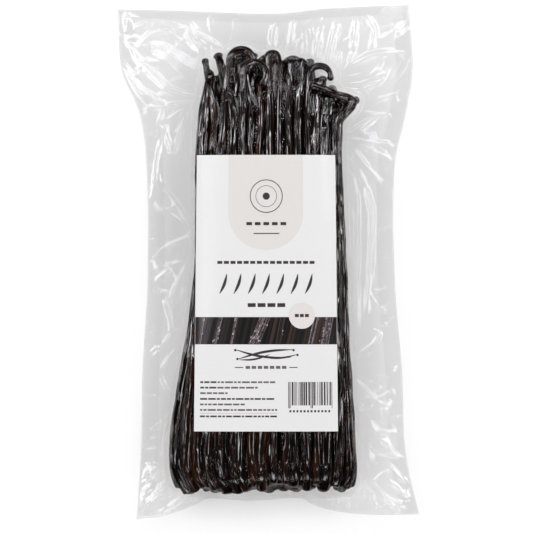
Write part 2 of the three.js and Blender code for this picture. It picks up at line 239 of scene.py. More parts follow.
def round_section(y, inset, share):
    """Points at a share of the way round the section, by length, from the left side over the top."""
    centre, half, middle, thick = (np.atleast_1d(part)[:, None] for part in section_at(y, inset))
    angle = np.linspace(0, 2 * math.pi, 241)[None, :]
    power = 2 / SQUARENESS
    c, s = -np.cos(angle), np.sin(angle)
    x = centre + half * np.sign(c) * np.abs(c) ** power
    z = middle + thick * np.sign(s) * np.abs(s) ** power
    steps = np.hypot(np.diff(x, axis=1), np.diff(z, axis=1))
    lengths = np.concatenate([np.zeros((len(x), 1)), np.cumsum(steps, axis=1)], axis=1)
    share = np.broadcast_to(np.mod(share, 1), len(x))
    found = [
        (np.interp(w * gone[-1], gone, across), np.interp(w * gone[-1], gone, high))
        for w, gone, across, high in zip(share, lengths, x, z)
    ]
    return np.array(found).T


def section_height(y, inset, x, side):
    """Height of the section's upper side (1) or underside (-1) at x."""
    centre, half, middle, thick = section_at(y, inset)
    reach = np.clip(np.abs(x - centre) / half, 0, 1)
    return middle + side * thick * (1 - reach**SQUARENESS) ** (1 / SQUARENESS)


# Object and mesh helpers


def select(*pieces):
    """Selects only these pieces and makes the first of them active."""
    bpy.ops.object.select_all(action="DESELECT")
    for piece in pieces:
        piece.select_set(True)
    if pieces:
        bpy.context.view_layer.objects.active = pieces[0]


def points_of(mesh):
    """A mesh's vertices as an array."""
    flat = np.empty(len(mesh.vertices) * 3, np.float32)
    mesh.vertices.foreach_get("co", flat)
    return flat.reshape(-1, 3).astype(float)


def place_points(mesh, points):
    """Puts a mesh's vertices at the given points."""
    mesh.vertices.foreach_set("co", np.asarray(points, np.float32).ravel())
    mesh.update()


def add_attribute(mesh, name, values):
    """Stores one number or one vector for each vertex."""
    values = np.asarray(values, np.float32)
    kind = "FLOAT" if values.ndim == 1 else "FLOAT_VECTOR"
    attribute = mesh.attributes.new(name, kind, "POINT")
    attribute.data.foreach_set("value" if values.ndim == 1 else "vector", values.ravel())


def join(pieces, name):
    """Joins pieces into the first of them."""
    select(*pieces)
    bpy.ops.object.join()
    pieces[0].name = name
    pieces[0].data.name = name
    return pieces[0]


def unit_grid(name, across, along):
    """A flat grid one metre square round the origin, and its vertices."""
    select()
    bpy.ops.mesh.primitive_grid_add(x_subdivisions=across, y_subdivisions=along, size=1)
    grid = bpy.context.object
    grid.name = name
    return grid, points_of(grid.data)


def crowded(even, share):
    """Shares from 0 to 1, moved closer together near both ends."""
    return even - share * np.sin(2 * math.pi * even) / (2 * math.pi)


def shade_smooth(piece):
    """Smooths a piece's shading."""
    select(piece)
    bpy.ops.object.shade_smooth()


# Node helpers


def new_material(name):
    """A material with only its Principled BSDF, returned with its node tree."""
    material = bpy.data.materials.new(name)
    material.use_nodes = True
    tree = material.node_tree
    return material, tree, tree.nodes["Principled BSDF"]


def new_group(name, inputs, outputs):
    """Makes a node group from its inputs' and outputs' types. Returns it, what it is given, and its end."""
    group = bpy.data.node_groups.new(name, "ShaderNodeTree")
    for way, sockets in (("INPUT", inputs), ("OUTPUT", outputs)):
        for socket, kind in sockets.items():
            group.interface.new_socket(socket, in_out=way, socket_type=f"NodeSocket{kind}")
    return group, group.nodes.new("NodeGroupInput").outputs, group.nodes.new("NodeGroupOutput")


def is_output(value):
    """Whether a value is another node's output."""
    return isinstance(value, bpy.types.NodeSocket)


def feed(tree, target, inputs):
    """Links a node's inputs to other nodes' outputs, or sets them to values."""
    for key, value in inputs.items():
        if is_output(value):
            tree.links.new(value, target.inputs[key])
        else:
            target.inputs[key].default_value = value


def node(tree, kind, inputs=None, **settings):
    """Adds a node, sets its properties and feeds its inputs."""
    made = tree.nodes.new(kind)
    for key, value in settings.items():
        setattr(made, key, value)
    feed(tree, made, inputs or {})
    return made


def math_node(tree, operation, first, second=0.0):
    """A sum on two values, each a number or an output."""
    return node(tree, "ShaderNodeMath", {0: first, 1: second}, operation=operation).outputs[0]


def times(tree, first, second):
    """Two values multiplied."""
    return math_node(tree, "MULTIPLY", first, second)


def plus(tree, first, second):
    """Two values added."""
    return math_node(tree, "ADD", first, second)


def mix_colour(tree, factor, first, second):
    """A mix of two colours, each a colour or an output."""
    first, second = (value if is_output(value) else (*value, 1) for value in (first, second))
    return node(tree, "ShaderNodeMix", {0: factor, 6: first, 7: second}, data_type="RGBA").outputs[2]


def ramp(tree, source, low=0.0, high=1.0, to_low=0.0, to_high=1.0):
    """Maps low to to_low and high to to_high, clamped."""
    ends = {"From Min": low, "From Max": high, "To Min": to_low, "To Max": to_high}
    return node(tree, "ShaderNodeMapRange", {"Value": source, **ends}).outputs["Result"]


def noise(tree, vector, scale, detail=3.0, roughness=0.6):
    """A noise value read at a vector."""
    inputs = {"Vector": vector, "Scale": scale, "Detail": detail, "Roughness": roughness}
    return node(tree, "ShaderNodeTexNoise", inputs).outputs["Fac"]


def bump(tree, height, strength, distance):
    """A normal bent by a height."""
    inputs = {"Height": height, "Strength": strength, "Distance": distance}
    return node(tree, "ShaderNodeBump", inputs).outputs["Normal"]


def stretched(tree, vector, scale):
    """A vector scaled along each axis."""
    return node(tree, "ShaderNodeVectorMath", {0: vector, 1: scale}, operation="MULTIPLY").outputs[0]


def object_place(tree):
    """The shaded point in the piece's own coordinates."""
    return node(tree, "ShaderNodeTexCoord").outputs["Object"]


def stored(tree, name, output="Fac"):
    """What a mesh attribute holds at the shaded point."""
    return node(tree, "ShaderNodeAttribute", attribute_name=name).outputs[output]


# Settings


def length_setting(name, description, default):
    """A length in metres."""
    return FloatProperty(name=name, description=description, default=default, unit="LENGTH", precision=5)


def place_setting(name, description, default):
    """Two lengths, across and along."""
    return FloatVectorProperty(name=name, description=description, default=default, size=2, unit="LENGTH")


def count_setting(name, description, default, least=20):
    """A number of sides, rings or cells."""
    return IntProperty(name=name, description=description, default=default, min=least)


def colour_setting(name, description, default):
    """A linear colour."""
    return FloatVectorProperty(name=name, description=description, default=default, subtype="COLOR", size=3)


class VanillaPodSettings(bpy.types.PropertyGroup):
    """Sizes and colours of the pods."""

    radius: length_setting("Pod Radius", "Radius of a pod at mid length", 2.1 * MM)
    outer_sides: count_setting("Outer Sides", "Sides of a front pod's section", 40, 8)
    outer_rings: count_setting("Outer Rings", "Rings along a front pod", 170)
    back_sides: count_setting("Back Sides", "Sides of a back pod's section", 18, 6)
    back_rings: count_setting("Back Rings", "Rings along a back pod", 120)
    inner_sides: count_setting("Inner Sides", "Sides of a hidden pod's section", 14, 6)
    inner_rings: count_setting("Inner Rings", "Rings along a hidden pod", 100)
    wrinkle: FloatProperty(name="Wrinkle Depth", description="Gain of the lengthwise wrinkles", default=1.0)
    dark: colour_setting("Dark Brown", "Colour of most of a pod", srgb("060403"))
    red: colour_setting("Red Brown", "Colour along a pod's streaks", srgb("44220f"))


class VanillaFilmSettings(bpy.types.PropertyGroup):
    """Sizes of the clear film."""

    across: count_setting("Cells Across", "Cells across the front film", 204)
    along: count_setting("Cells Along", "Cells along the front film", 348)
    gap: length_setting("Film Gap", "How far the film lies off the pods", 0.1 * MM)
    pull: FloatProperty(
        name="Pull", description="How hard the vacuum draws the film in, in slope a millimetre", default=3.0
    )
    side_seal: length_setting("Side Seal", "Width of the side seals", 7 * MM)
    top_seal: length_setting("Top Seal", "Width of the top seal", 3.7 * MM)
    tint: colour_setting("Film Tint", "What one film lets through", (0.981, 0.981, 0.978))


class VanillaLabelSettings(bpy.types.PropertyGroup):
    """Sizes and colours of the label."""

    middle: place_setting("Label Middle", "Middle of the label", (-1 * MM, -13.2 * MM))
    size: place_setting("Label Size", "Width and height", (59 * MM, 115.4 * MM))
    thickness: length_setting("Paper", "Thickness of the paper", 0.14 * MM)
    paper: colour_setting("Paper White", "Colour of the paper", srgb("e9e9e8"))
    beige: colour_setting("Beige", "Colour of the printed fields", srgb("e1deda"))
    ink: colour_setting("Ink", "Colour of the dark print", srgb("3a3535"))


# The pods


def pod_blank(sides, rings):
    """A closed tube of radius 1 along Z from 0 to 1, cut into rings, that every pod is bent from."""
    select()
    bpy.ops.mesh.primitive_cylinder_add(
        vertices=sides, radius=1, depth=1, end_fill_type="TRIFAN", location=(0, 0, 0.5)
    )
    blank = bpy.context.object
    bpy.ops.object.transform_apply(location=True)
    bpy.ops.object.mode_set(mode="EDIT")
    bpy.ops.mesh.select_all(action="DESELECT")
    shape = bmesh.from_edit_mesh(blank.data)
    for edge in shape.edges:
        low, high = (vertex.co.z for vertex in edge.verts)
        edge.select_set(abs(low - high) > 0.5)
    bmesh.update_edit_mesh(blank.data)
    bpy.ops.mesh.subdivide_edgering(number_cuts=rings - 1, interpolation="LINEAR")
    bpy.ops.object.mode_set(mode="OBJECT")
    bpy.ops.object.shade_smooth()
    return blank


def straight(lean, run):
    """A stem end without a bend."""
    return lean, run, 0, 0, 0, 0


def walk_head(x, y, head):
    """The way of a stem end from the shoulder: its points, how far along each is, the whole way, its run."""
    lean, run, bend_radius, bend, tail = head[:5]
    run, bend_radius, tail = run * MM, bend_radius * MM, tail * MM
    bend_length = bend_radius * math.radians(abs(bend))
    whole = run + bend_length + tail
    count = max(int(whole / HEAD_STEP), 8)
    gone = (np.arange(count) + 0.5) * whole / count
    heading = math.radians(lean) * np.clip(gone / (LEAN_SHARE * run), 0, 1)
    if bend_length:
        heading = heading + math.radians(bend) * np.clip((gone - run) / bend_length, 0, 1)
    xs = x + np.cumsum(np.sin(heading)) * whole / count
    ys = y + np.cumsum(np.cos(heading)) * whole / count
    reached = (np.arange(count) + 1) * whole / count
    return xs, ys, reached, whole, run


def pod_way(share, side, slant, girth, foot_y, head, inset, sway):
    """The middle line of a pod with its radius and the way out of the bundle at each point."""
    body_y = np.arange(foot_y, SHOULDER_Y, BODY_STEP)
    gain = FOOT_GAIN + (HEAD_GAIN - FOOT_GAIN) * np.clip((body_y - FOOT_Y) / (SHOULDER_Y - FOOT_Y), 0, 1)
    done = (body_y - foot_y) / (SHOULDER_Y - foot_y)
    shares = share + slant * (1 - done) + sway(body_y) * (1 - smooth(done, 0.93, 1))
    body_x, body_z = round_section(body_y, girth * gain + inset, shares)
    head_x, head_y, gone, whole, run = walk_head(body_x[-1], body_y[-1], head)
    to_end = whole - gone
    stem = 1 - np.clip(to_end / STEM_LENGTH, 0, 1)
    head_gain = HEAD_GAIN + (STEM_GAIN - HEAD_GAIN) * np.sin(stem * math.pi / 2)
    head_gain = head_gain + (KNOB_GAIN - STEM_GAIN) * smooth(-to_end, -KNOB_START, -KNOB_FULL)
    radius = girth * head_gain
    lift = head[5] * MM * np.clip(gone / run, 0, 1)
    if side:
        head_z = section_height(head_y, radius + inset, head_x, side) + lift
    else:
        head_z = body_z[-1] + section_at(head_y, 0)[2] - section_at(SHOULDER_Y, 0)[2] + lift
    settle = np.clip(gone / SETTLE_LENGTH, 0, 1)
    head_z = body_z[-1] * (1 - settle) + head_z * settle
    way = np.column_stack([
        np.concatenate([body_x, head_x]),
        np.concatenate([body_y, head_y]),
        np.concatenate([body_z, head_z]),
    ])
    centre, half, middle, thick = section_at(way[:, 1], 0)
    out_x = (way[:, 0] - centre) / half
    out_z = (way[:, 2] - middle) / thick
    out = np.column_stack([np.sign(out_x) * np.abs(out_x) ** 2.4 / half, 0 * out_x, out_z / thick])
    out /= np.linalg.norm(out, axis=1)[:, None]
    if side:
        free = smooth(way[:, 1], SHOULDER_Y - FREE_LENGTH, SHOULDER_Y)[:, None]
        out = out * (1 - free) + np.array([0, 0, side]) * free
    return way, np.concatenate([girth * gain, radius]), out


def wrinkles(angle, along, rng):
    """Lengthwise folds of a dried pod, as a share of its radius."""
    total = 0.06 * np.cos(2 * angle + rng.uniform(0, 6) + rng.uniform(-12, 12) * along)
    deep = 0.5 + 0.5 * smooth(along, 0, 70 * MM)
    for k in range(GROOVES):
        middle = 2 * math.pi * (k + rng.uniform(0.1, 0.9)) / GROOVES + rng.uniform(-14, 14) * along
        middle = middle + rng.uniform(0.1, 0.45) * np.sin(along * rng.uniform(100, 360) + rng.uniform(0, 6))
        away = np.abs(np.mod(angle - middle + math.pi, 2 * math.pi) - math.pi)
        strength = 0.55 + 0.45 * np.sin(along * rng.uniform(90, 420) + rng.uniform(0, 6))
        total -= rng.uniform(0.1, 0.32) * deep * strength * np.exp(-((away / rng.uniform(0.17, 0.36)) ** 2))
    swell = 0.06 * np.sin(along * rng.uniform(150, 330) + rng.uniform(0, 6))
    swell += 0.04 * np.sin(along * rng.uniform(50, 120) + rng.uniform(0, 6))
    return total + swell + 0.07


def bend_pod(blank, way, radius, out, rng, depth, name):
    """A copy of the blank bent along a way, wrinkled, with domed ends."""
    pod = blank.copy()
    pod.data = blank.data.copy()
    pod.name = name
    bpy.context.collection.objects.link(pod)
    spots = points_of(blank.data)
    angle = np.arctan2(spots[:, 1], spots[:, 0])
    share = crowded(spots[:, 2], 0.86)
    steps = np.linalg.norm(np.diff(way, axis=0), axis=1)
    length = np.concatenate([[0], np.cumsum(steps)])
    along = share * length[-1]
    centre = np.column_stack([np.interp(along, length, way[:, k]) for k in range(3)])
    tangent = np.gradient(way, length, axis=0)
    tangent = np.column_stack([np.interp(along, length, tangent[:, k]) for k in range(3)])
    tangent /= np.linalg.norm(tangent, axis=1)[:, None]
    up = np.column_stack([np.interp(along, length, out[:, k]) for k in range(3)])
    side = np.cross(tangent, up)
    side /= np.linalg.norm(side, axis=1)[:, None]
    up = np.cross(side, tangent)
    girth = np.interp(along, length, radius)
    from_foot = np.clip(along / (girth * 0.8), 0, 1)
    from_tip = np.clip((length[-1] - along) / (girth * 1.2), 0, 1)
    dome = np.sqrt(1 - (1 - from_foot) ** 2) * np.sqrt(1 - (1 - from_tip) ** 2)
    reach = np.hypot(spots[:, 0], spots[:, 1])
    girth = girth * dome * (1 + depth * wrinkles(angle, along, rng)) * np.where(reach < 0.5, 0, 1)
    across, high = np.cos(angle) * girth * POD_WIDTH, np.sin(angle) * girth * POD_HEIGHT
    points = centre + side * across[:, None] + up * high[:, None]
    points[:, 2] = np.maximum(points[:, 2], TABLE_GAP)
    place_points(pod.data, points)
    shift = rng.uniform(-1, 1, 3)
    grain = np.column_stack([np.cos(angle) * GRAIN_RADIUS, np.sin(angle) * GRAIN_RADIUS, along]) + shift
    add_attribute(pod.data, "grain", grain)
    add_attribute(pod.data, "tone", np.full(len(points), rng.uniform(0, 1)))
    return pod


def ring_pod(index, draw, rng, blank, settings):
    """One outer pod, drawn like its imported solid."""
    is_front = 0 < index < RING_PODS / 2
    side = 1 if is_front else -1 if index > RING_PODS / 2 else 0
    slant = draw.spread(0.004)
    girth = settings.radius * (1 + draw.spread(0.07))
    foot_y = FOOT_Y + draw.spread(FOOT_SPREAD) * MM
    is_hooked = draw.next() < HOOK_SHARE
    plain = [draw.spread(7), HEAD_LENGTH + draw.spread(HEAD_LENGTH_SPREAD), 0, 0, 0, 0]
    if is_hooked:
        plain[1] -= HOOK_RADIUS
        plain[2] = HOOK_RADIUS + draw.spread(0.8)
        plain[3] = -175 if draw.next() < 0.5 else 175
        plain[4] = 2
    if is_front:
        head = FRONT_HEADS[index - 1]
    else:
        head = straight(*SIDE_HEADS[index]) if index in SIDE_HEADS else plain
    girth *= rng.uniform(0.84, 1.06)
    wave, phase, swing = rng.uniform(50, 90), rng.uniform(0, 6), rng.uniform(0.002, 0.006)

    def sway(y):
        return swing * np.sin(y * wave + phase)

    way = pod_way(index / RING_PODS, side, slant, girth, foot_y, head, 0, sway)
    return bend_pod(blank, *way, rng, settings.wrinkle, f"pod_{index}")


def inner_pod(share, inset, rng, blank, settings, name, fixed=None):
    """One pod under the outer ones."""
    side = 1 if share % 1 < 0.5 else -1
    girth = settings.radius * rng.uniform(0.9, 1.08)
    foot_y = FOOT_Y + rng.uniform(-2.2, 1.2) * MM
    run = rng.uniform(15, 29)
    to_right = -math.cos(2 * math.pi * share)
    run -= (12 if to_right > 0 else 8) * abs(to_right) ** 6
    head = [rng.uniform(-9, 9), run, 0, 0, 0, rng.uniform(-0.5, 1)]
    if rng.random() < 0.4:
        head[1] = run - 4
        turn = rng.choice((-1, 1)) if abs(to_right) < 0.7 else -math.copysign(1, to_right)
        head[2:5] = [rng.uniform(2.2, 4), turn * rng.uniform(140, 200), rng.uniform(1, 3)]
    if fixed:
        head = straight(*fixed)
    wave, phase = rng.uniform(30, 70), rng.uniform(0, 6)

    def sway(y):
        return 0.004 * np.sin(y * wave + phase)

    way = pod_way(share, side, rng.uniform(-0.01, 0.01), girth, foot_y, head, inset, sway)
    return bend_pod(blank, *way, rng, settings.wrinkle, name)


def build_wrinkle_group():
    """Turns a pod's lengthwise grain into bump height and a mask of its oily patches."""
    group, given, sink = new_group(
        "Pod Wrinkles", {"Vector": "Vector", "Fineness": "Float"}, {"Height": "Float", "Oil": "Float"}
    )
    inputs = {0: given["Vector"], "Scale": given["Fineness"]}
    grain = node(group, "ShaderNodeVectorMath", inputs, operation="SCALE").outputs[0]
    folds = noise(group, stretched(group, grain, (1, 1, 0.13)), 560)
    ridged = math_node(group, "ABSOLUTE", math_node(group, "SUBTRACT", folds, 0.5))
    ridged = math_node(group, "POWER", ramp(group, ridged, 0.0, 0.16), 0.6)
    pits = noise(group, stretched(group, grain, (1, 1, 0.5)), 1150, 2, 0.5)
    height = plus(group, times(group, ridged, 0.62), times(group, pits, 0.38))
    oil = ramp(group, noise(group, stretched(group, grain, (1, 1, 0.3)), 420), 0.45, 0.61)
    feed(group, sink, {"Height": height, "Oil": oil})
    return group


def pod_material(name, settings, fineness):
    """Dark oily vanilla: brown streaks, fine wrinkles and patches of shine."""
    material, tree, shader = new_material(name)
    grain = stored(tree, "grain", "Vector")
    group = bpy.data.node_groups.get("Pod Wrinkles") or build_wrinkle_group()
    folds = node(tree, "ShaderNodeGroup", {"Vector": grain, "Fineness": fineness}, node_tree=group).outputs
    streaks = noise(tree, stretched(tree, grain, (1, 1, 0.07)), 1400, 4)
    warm = ramp(tree, plus(tree, streaks, times(tree, stored(tree, "tone"), 0.12)), 0.56, 0.84)
    along = node(tree, "ShaderNodeSeparateXYZ", {0: object_place(tree)}).outputs["Y"]
    # Painted shade: the coat thins towards the pods' feet, so fewer highlights show there. It also thins
    # over the stem ends, which stay darker.
    feet = ramp(tree, along, -95 * MM, -30 * MM, 0.35, 1.0)
    heads = ramp(tree, along, 70 * MM, 80 * MM, 1.0, 0.62)
    oil = times(tree, folds["Oil"], times(tree, feet, heads))
    feed(tree, shader, {
        "Base Color": mix_colour(tree, warm, settings.dark, settings.red),
        "Roughness": ramp(tree, folds["Oil"], to_low=0.5, to_high=0.34),
        "Normal": bump(tree, folds["Height"], 1.0, 0.3 * MM),
        "Coat Weight": ramp(tree, oil, to_low=0.06),
        "Coat Roughness": 0.09,
        "Coat IOR": 3.3,
        "Specular IOR Level": 0.03,
        "Specular Tint": (0.86, 0.84, 1, 1),
    })
    return material


class VANILLA_OT_outer_pods(bpy.types.Operator):
    """Add the ring of pods that shows through the film"""

    bl_idname = "vanilla.outer_pods"
    bl_label = "Outer Pods"

    def execute(self, context):
        settings = context.scene.vanilla_pods
        draw = Draw(PACK_SEED)
        rng = np.random.default_rng(7)
        front_blank = pod_blank(settings.outer_sides, settings.outer_rings)
        back_blank = pod_blank(settings.back_sides, settings.back_rings)
        pods = []
        for index in range(RING_PODS):
            is_front = index <= RING_PODS // 2
            pods.append(ring_pod(index, draw, rng, front_blank if is_front else back_blank, settings))
        material = pod_material("vanilla_pod_skin", settings, 1.0)
        for name, first, last in RING_PIECES:
            piece = join(pods[first:last], name)
            piece.data.materials.append(material)
            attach(piece, "root")
            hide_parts("sealed_bag")
        bpy.data.objects.remove(front_blank)
        bpy.data.objects.remove(back_blank)
        return {"FINISHED"}


class VANILLA_OT_inner_pods(bpy.types.Operator):
    """Add the pods inside the bundle, which show at its two ends"""

    bl_idname = "vanilla.inner_pods"
    bl_label = "Inner Pods"

    def execute(self, context):
        settings = context.scene.vanilla_pods
        rng = np.random.default_rng(23)
        blank = pod_blank(settings.inner_sides, settings.inner_rings)
        pods = []
        for count, inset in INNER_LAYERS:
            for k in range(count):
                share = (k + rng.uniform(0.3, 0.7)) / count
                fixed = BEHIND_HEADS.get(len(pods))
                pods.append(inner_pod(share, inset, rng, blank, settings, f"inner_{len(pods)}", fixed))
        piece = join(pods, "pods_inner")
        piece.data.materials.append(pod_material("vanilla_inner_pod_skin", settings, 0.9))
        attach(piece, "root")
        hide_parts("sealed_bag")
        bpy.data.objects.remove(blank)
        return {"FINISHED"}


# The film

POD_PIECES = ("pods_left", "pods_right", "pods_back", "pods_inner")

# Gains on the creases' heights and half widths.
FOLD_GAIN = 1.35
FOLD_SPREAD = 1.6
# Creases of the film, each with its half width and height in millimetres and its way by the photo's pixels.
CREASES = (
    (2.6, 1.1, (150, 42), (198, 73)),
    (2.1, 0.9, (126, 8), (126, 27)),
    (1.4, 0.8, (136, 57), (165, 86), (198, 98)),
    (1.2, 0.7, (198, 100), (165, 106), (141, 108)),
    (1.0, 0.6, (196, 104), (180, 110), (165, 122)),
    (1.3, 0.7, (163, 123), (172, 151), (184, 120)),
    (1.6, 0.9, (118, 60), (140, 92), (166, 104)),
    (1.2, 0.6, (126, 82), (146, 92)),
    (1.5, 0.9, (184, 27), (150, 33), (138, 44)),
    (1.4, 0.8, (185, 27), (193, 42), (206, 50)),
    (1.4, 0.8, (186, 28), (204, 38), (218, 46)),
    (1.2, 0.7, (184, 26), (152, 22), (132, 26)),
    (1.1, 0.6, (196.5, 235), (178, 205), (164, 187)),
    (1.1, 0.6, (196.5, 235), (156, 204)),
    (1.1, 0.6, (196.5, 235), (165, 247)),
    (1.0, 0.7, (188, 262), (167, 305), (171, 330)),
    (0.9, 0.6, (162, 345), (178, 330)),
    (0.9, 0.6, (162, 367), (178, 347)),
    (0.9, 0.6, (161, 379), (174, 402)),
    (1.0, 0.6, (170, 414), (162, 460)),
    (2.6, 0.7, (139, 478), (165, 466)),
    (1.0, 0.6, (155, 494), (165, 484)),
    (1.1, 0.7, (156, 518), (183, 498)),
    (0.9, 0.6, (160, 140), (150, 200)),
    (1.4, 0.8, (274, 24), (272, 46)),
    (1.2, 0.7, (294, 17), (290, 44)),
    (1.4, 0.8, (322, 24), (314, 62)),
    (1.3, 0.8, (337, 20), (326, 70)),
    (1.5, 0.9, (357, 19), (353, 48)),
    (1.3, 0.8, (369, 17), (376, 30), (372, 46)),
    (1.2, 0.8, (339, 53), (336, 75)),
    (1.3, 0.8, (355, 48), (348, 67)),
    (1.6, 0.9, (349, 67), (372, 54), (392, 52)),
    (1.1, 0.7, (390, 67), (384, 79), (362, 90)),
    (1.1, 0.7, (343.5, 138), (379, 113)),
    (1.2, 0.7, (343.5, 138), (399, 145)),
    (1.2, 0.7, (343.5, 138), (395, 160)),
    (1.2, 0.7, (343.5, 138), (379, 180)),
    (1.3, 0.8, (344, 165), (353, 178), (357, 200), (357, 330)),
    (1.2, 0.8, (356, 167), (367, 187), (373, 214), (372, 254), (367, 314)),
    (1.0, 0.7, (372, 330), (380, 335), (374, 345), (357, 357)),
    (1.0, 0.7, (352, 378), (385, 409)),
    (0.9, 0.6, (369, 436), (388, 443)),
    (2.2, 0.7, (368, 444), (369, 467)),
    (0.9, 0.6, (378, 453), (406, 458)),
    (0.9, 0.6, (388, 470), (374, 483)),
    (0.9, 0.8, (357, 483), (372, 484), (396, 509)),
    (0.9, 0.8, (357, 485), (372, 493), (378, 511)),
    (1.1, 0.8, (330, 498), (337, 509)),
    (1.1, 0.8, (344, 496), (350, 511)),
    (1.1, 0.8, (198, 480), (197, 500)),
    (1.1, 0.8, (306, 486), (307, 502)),
)


def crease_height(x, y, points, half_width, height):
    """A ridge of the film along a way, highest at its middle and sharp along its top."""
    best = np.full(x.shape, np.inf)
    place = np.zeros(x.shape)
    ways = [Vector(point) for point in points]
    lengths = [(b - a).length for a, b in zip(ways, ways[1:])]
    gone = 0
    for a, b, length in zip(ways, ways[1:], lengths):
        along = (b - a) / length
        t = np.clip((x - a.x) * along.x + (y - a.y) * along.y, 0, length)
        away = np.hypot(x - a.x - along.x * t, y - a.y - along.y * t)
        nearer = away < best
        best = np.where(nearer, away, best)
        place = np.where(nearer, gone + t, place)
        gone += length
    taper = np.sqrt(np.clip(np.sin(math.pi * np.clip(0.06 + 0.88 * place / gone, 0, 1)), 0, 1))
    side = np.clip(1 - best / (FOLD_SPREAD * half_width * MM), 0, 1)
    return FOLD_GAIN * height * MM * taper * side


def fine_creases(x, y, rng, count=240):
    """Many small creases that run out from the bundle."""
    total = np.zeros_like(x)
    middle_y = (BUNDLE[0, 0] + BUNDLE[-1, 0]) / 2
    while count:
        px, py = rng.uniform(-62, 62) * MM, rng.uniform(-106, 107) * MM
        near = float(np.clip(py, BUNDLE[0, 0], BUNDLE[-1, 0]))
        left, right = float(curve_at(BUNDLE, near, 1)), float(curve_at(BUNDLE, near, 2))
        if left - 1 * MM < px < right + 1 * MM and FOOT_Y < py < HEADS_Y:
            continue
        beside = px - min(max(px, left), right)
        beyond = py - min(max(py, FOOT_Y), HEADS_Y)
        outwards = math.copysign(math.pi / 2, py - middle_y)
        heading = math.atan2(beyond, beside) if beside or beyond else outwards
        heading += rng.normal(0, 0.55)
        length = rng.uniform(4, 15) * MM
        ends = [
            (px + t * length * math.cos(heading + t * 0.3), py + t * length * math.sin(heading + t * 0.3))
            for t in (-0.5, 0, 0.5)
        ]
        total = np.maximum(total, crease_height(x, y, ends, rng.uniform(0.6, 1.4), rng.uniform(0.2, 0.6)))
        count -= 1
    return total


def off_bundle(x, y):
    """How far each place lies outside the bundle."""
    near = np.clip(y, BUNDLE[0, 0], BUNDLE[-1, 0])
    beside = np.maximum(np.maximum(curve_at(BUNDLE, near, 1) - x, x - curve_at(BUNDLE, near, 2)), 0)
    beyond = np.maximum(np.maximum(y - HEADS_Y, FOOT_Y - y), 0)
    return np.hypot(beside, beyond)


def flange_height(x, y):
    """Height at which the two films lie together round the bundle: long waves and drooping corners."""
    away = smooth(off_bundle(x, y), 1 * MM, 20 * MM)
    corner = smooth(np.abs(x) / (60 * MM), 0.7, 1.06) * smooth(np.abs(y) / (106 * MM), 0.72, 1.02)
    wave = np.sin(y / (17 * MM) + x / (30 * MM)) + 0.25 * np.sin(y / (7.5 * MM) - x / (12 * MM) + 1)
    return SEAL_HEIGHT + EDGE_WAVE * wave * away - CORNER_DROOP * corner


def notch(y, middle):
    """How far a tear notch cuts into a side edge at y."""
    return NOTCH_DEPTH * np.clip(1 - np.abs(y - middle) / NOTCH_HALF, 0, 1)


def outline_point(u, v):
    """A point of the bag's flat pattern, from its four edges."""
    bottom_left, bottom_right = BOTTOM_EDGE[0], BOTTOM_EDGE[-1]
    top_left, top_right = TOP_EDGE[0], TOP_EDGE[-1]
    bottom_x = bottom_left[0] + (bottom_right[0] - bottom_left[0]) * u
    top_x = top_left[0] + (top_right[0] - top_left[0]) * u
    left_y = bottom_left[1] + (top_left[1] - bottom_left[1]) * v
    right_y = bottom_right[1] + (top_right[1] - bottom_right[1]) * v
    left_x = curve_at(SIDE_EDGES, left_y, 1) + notch(left_y, NOTCH_LEFT_Y)
    right_x = curve_at(SIDE_EDGES, right_y, 2) - notch(right_y, NOTCH_RIGHT_Y)
    bottom_y = curve_at(BOTTOM_EDGE, bottom_x, 1)
    top_y = curve_at(TOP_EDGE, top_x, 1)

    def blend(bottom, top, left, right, corners):
        sides = (1 - v) * bottom + v * top + (1 - u) * left + u * right
        low = (1 - u) * corners[0] + u * corners[1]
        high = (1 - u) * corners[2] + u * corners[3]
        return sides - (1 - v) * low - v * high

    corners = ((bottom_left, 1), (bottom_right, 2), (top_left, 1), (top_right, 2))
    corner_x = [curve_at(SIDE_EDGES, end[1], side) for end, side in corners]
    x = blend(bottom_x, top_x, left_x, right_x, corner_x)
    y = blend(bottom_y, top_y, left_y, right_y, [end[1] for end, _ in corners])
    return x, y


def heights_under(trees, x, y, side):
    """Where rays from above (1) or below (-1) first meet the pods, with nan where they meet none."""
    start = 0.1 * side
    pick = max if side > 0 else min
    way = Vector((0, 0, -side))
    found = np.full(x.shape, np.nan)
    for spot, (px, py) in enumerate(zip(x.ravel(), y.ravel())):
        for tree in trees:
            hit = tree.ray_cast(Vector((px, py, start)), way)[0]
            if hit is not None:
                old = found.flat[spot]
                found.flat[spot] = hit.z if np.isnan(old) else pick(old, hit.z)
    return found


def widened(grid):
    """Each cell's highest neighbour."""
    padded = np.pad(grid, 1, mode="edge")
    rows, columns = grid.shape
    return np.maximum.reduce([padded[i : i + rows, j : j + columns] for i in range(3) for j in range(3)])


def neighbours_mean(grid):
    """Each cell's mean of its four neighbours, with the border kept."""
    mean = grid.copy()
    mean[1:-1, 1:-1] = (grid[:-2, 1:-1] + grid[2:, 1:-1] + grid[1:-1, :-2] + grid[1:-1, 2:]) / 4
    return mean


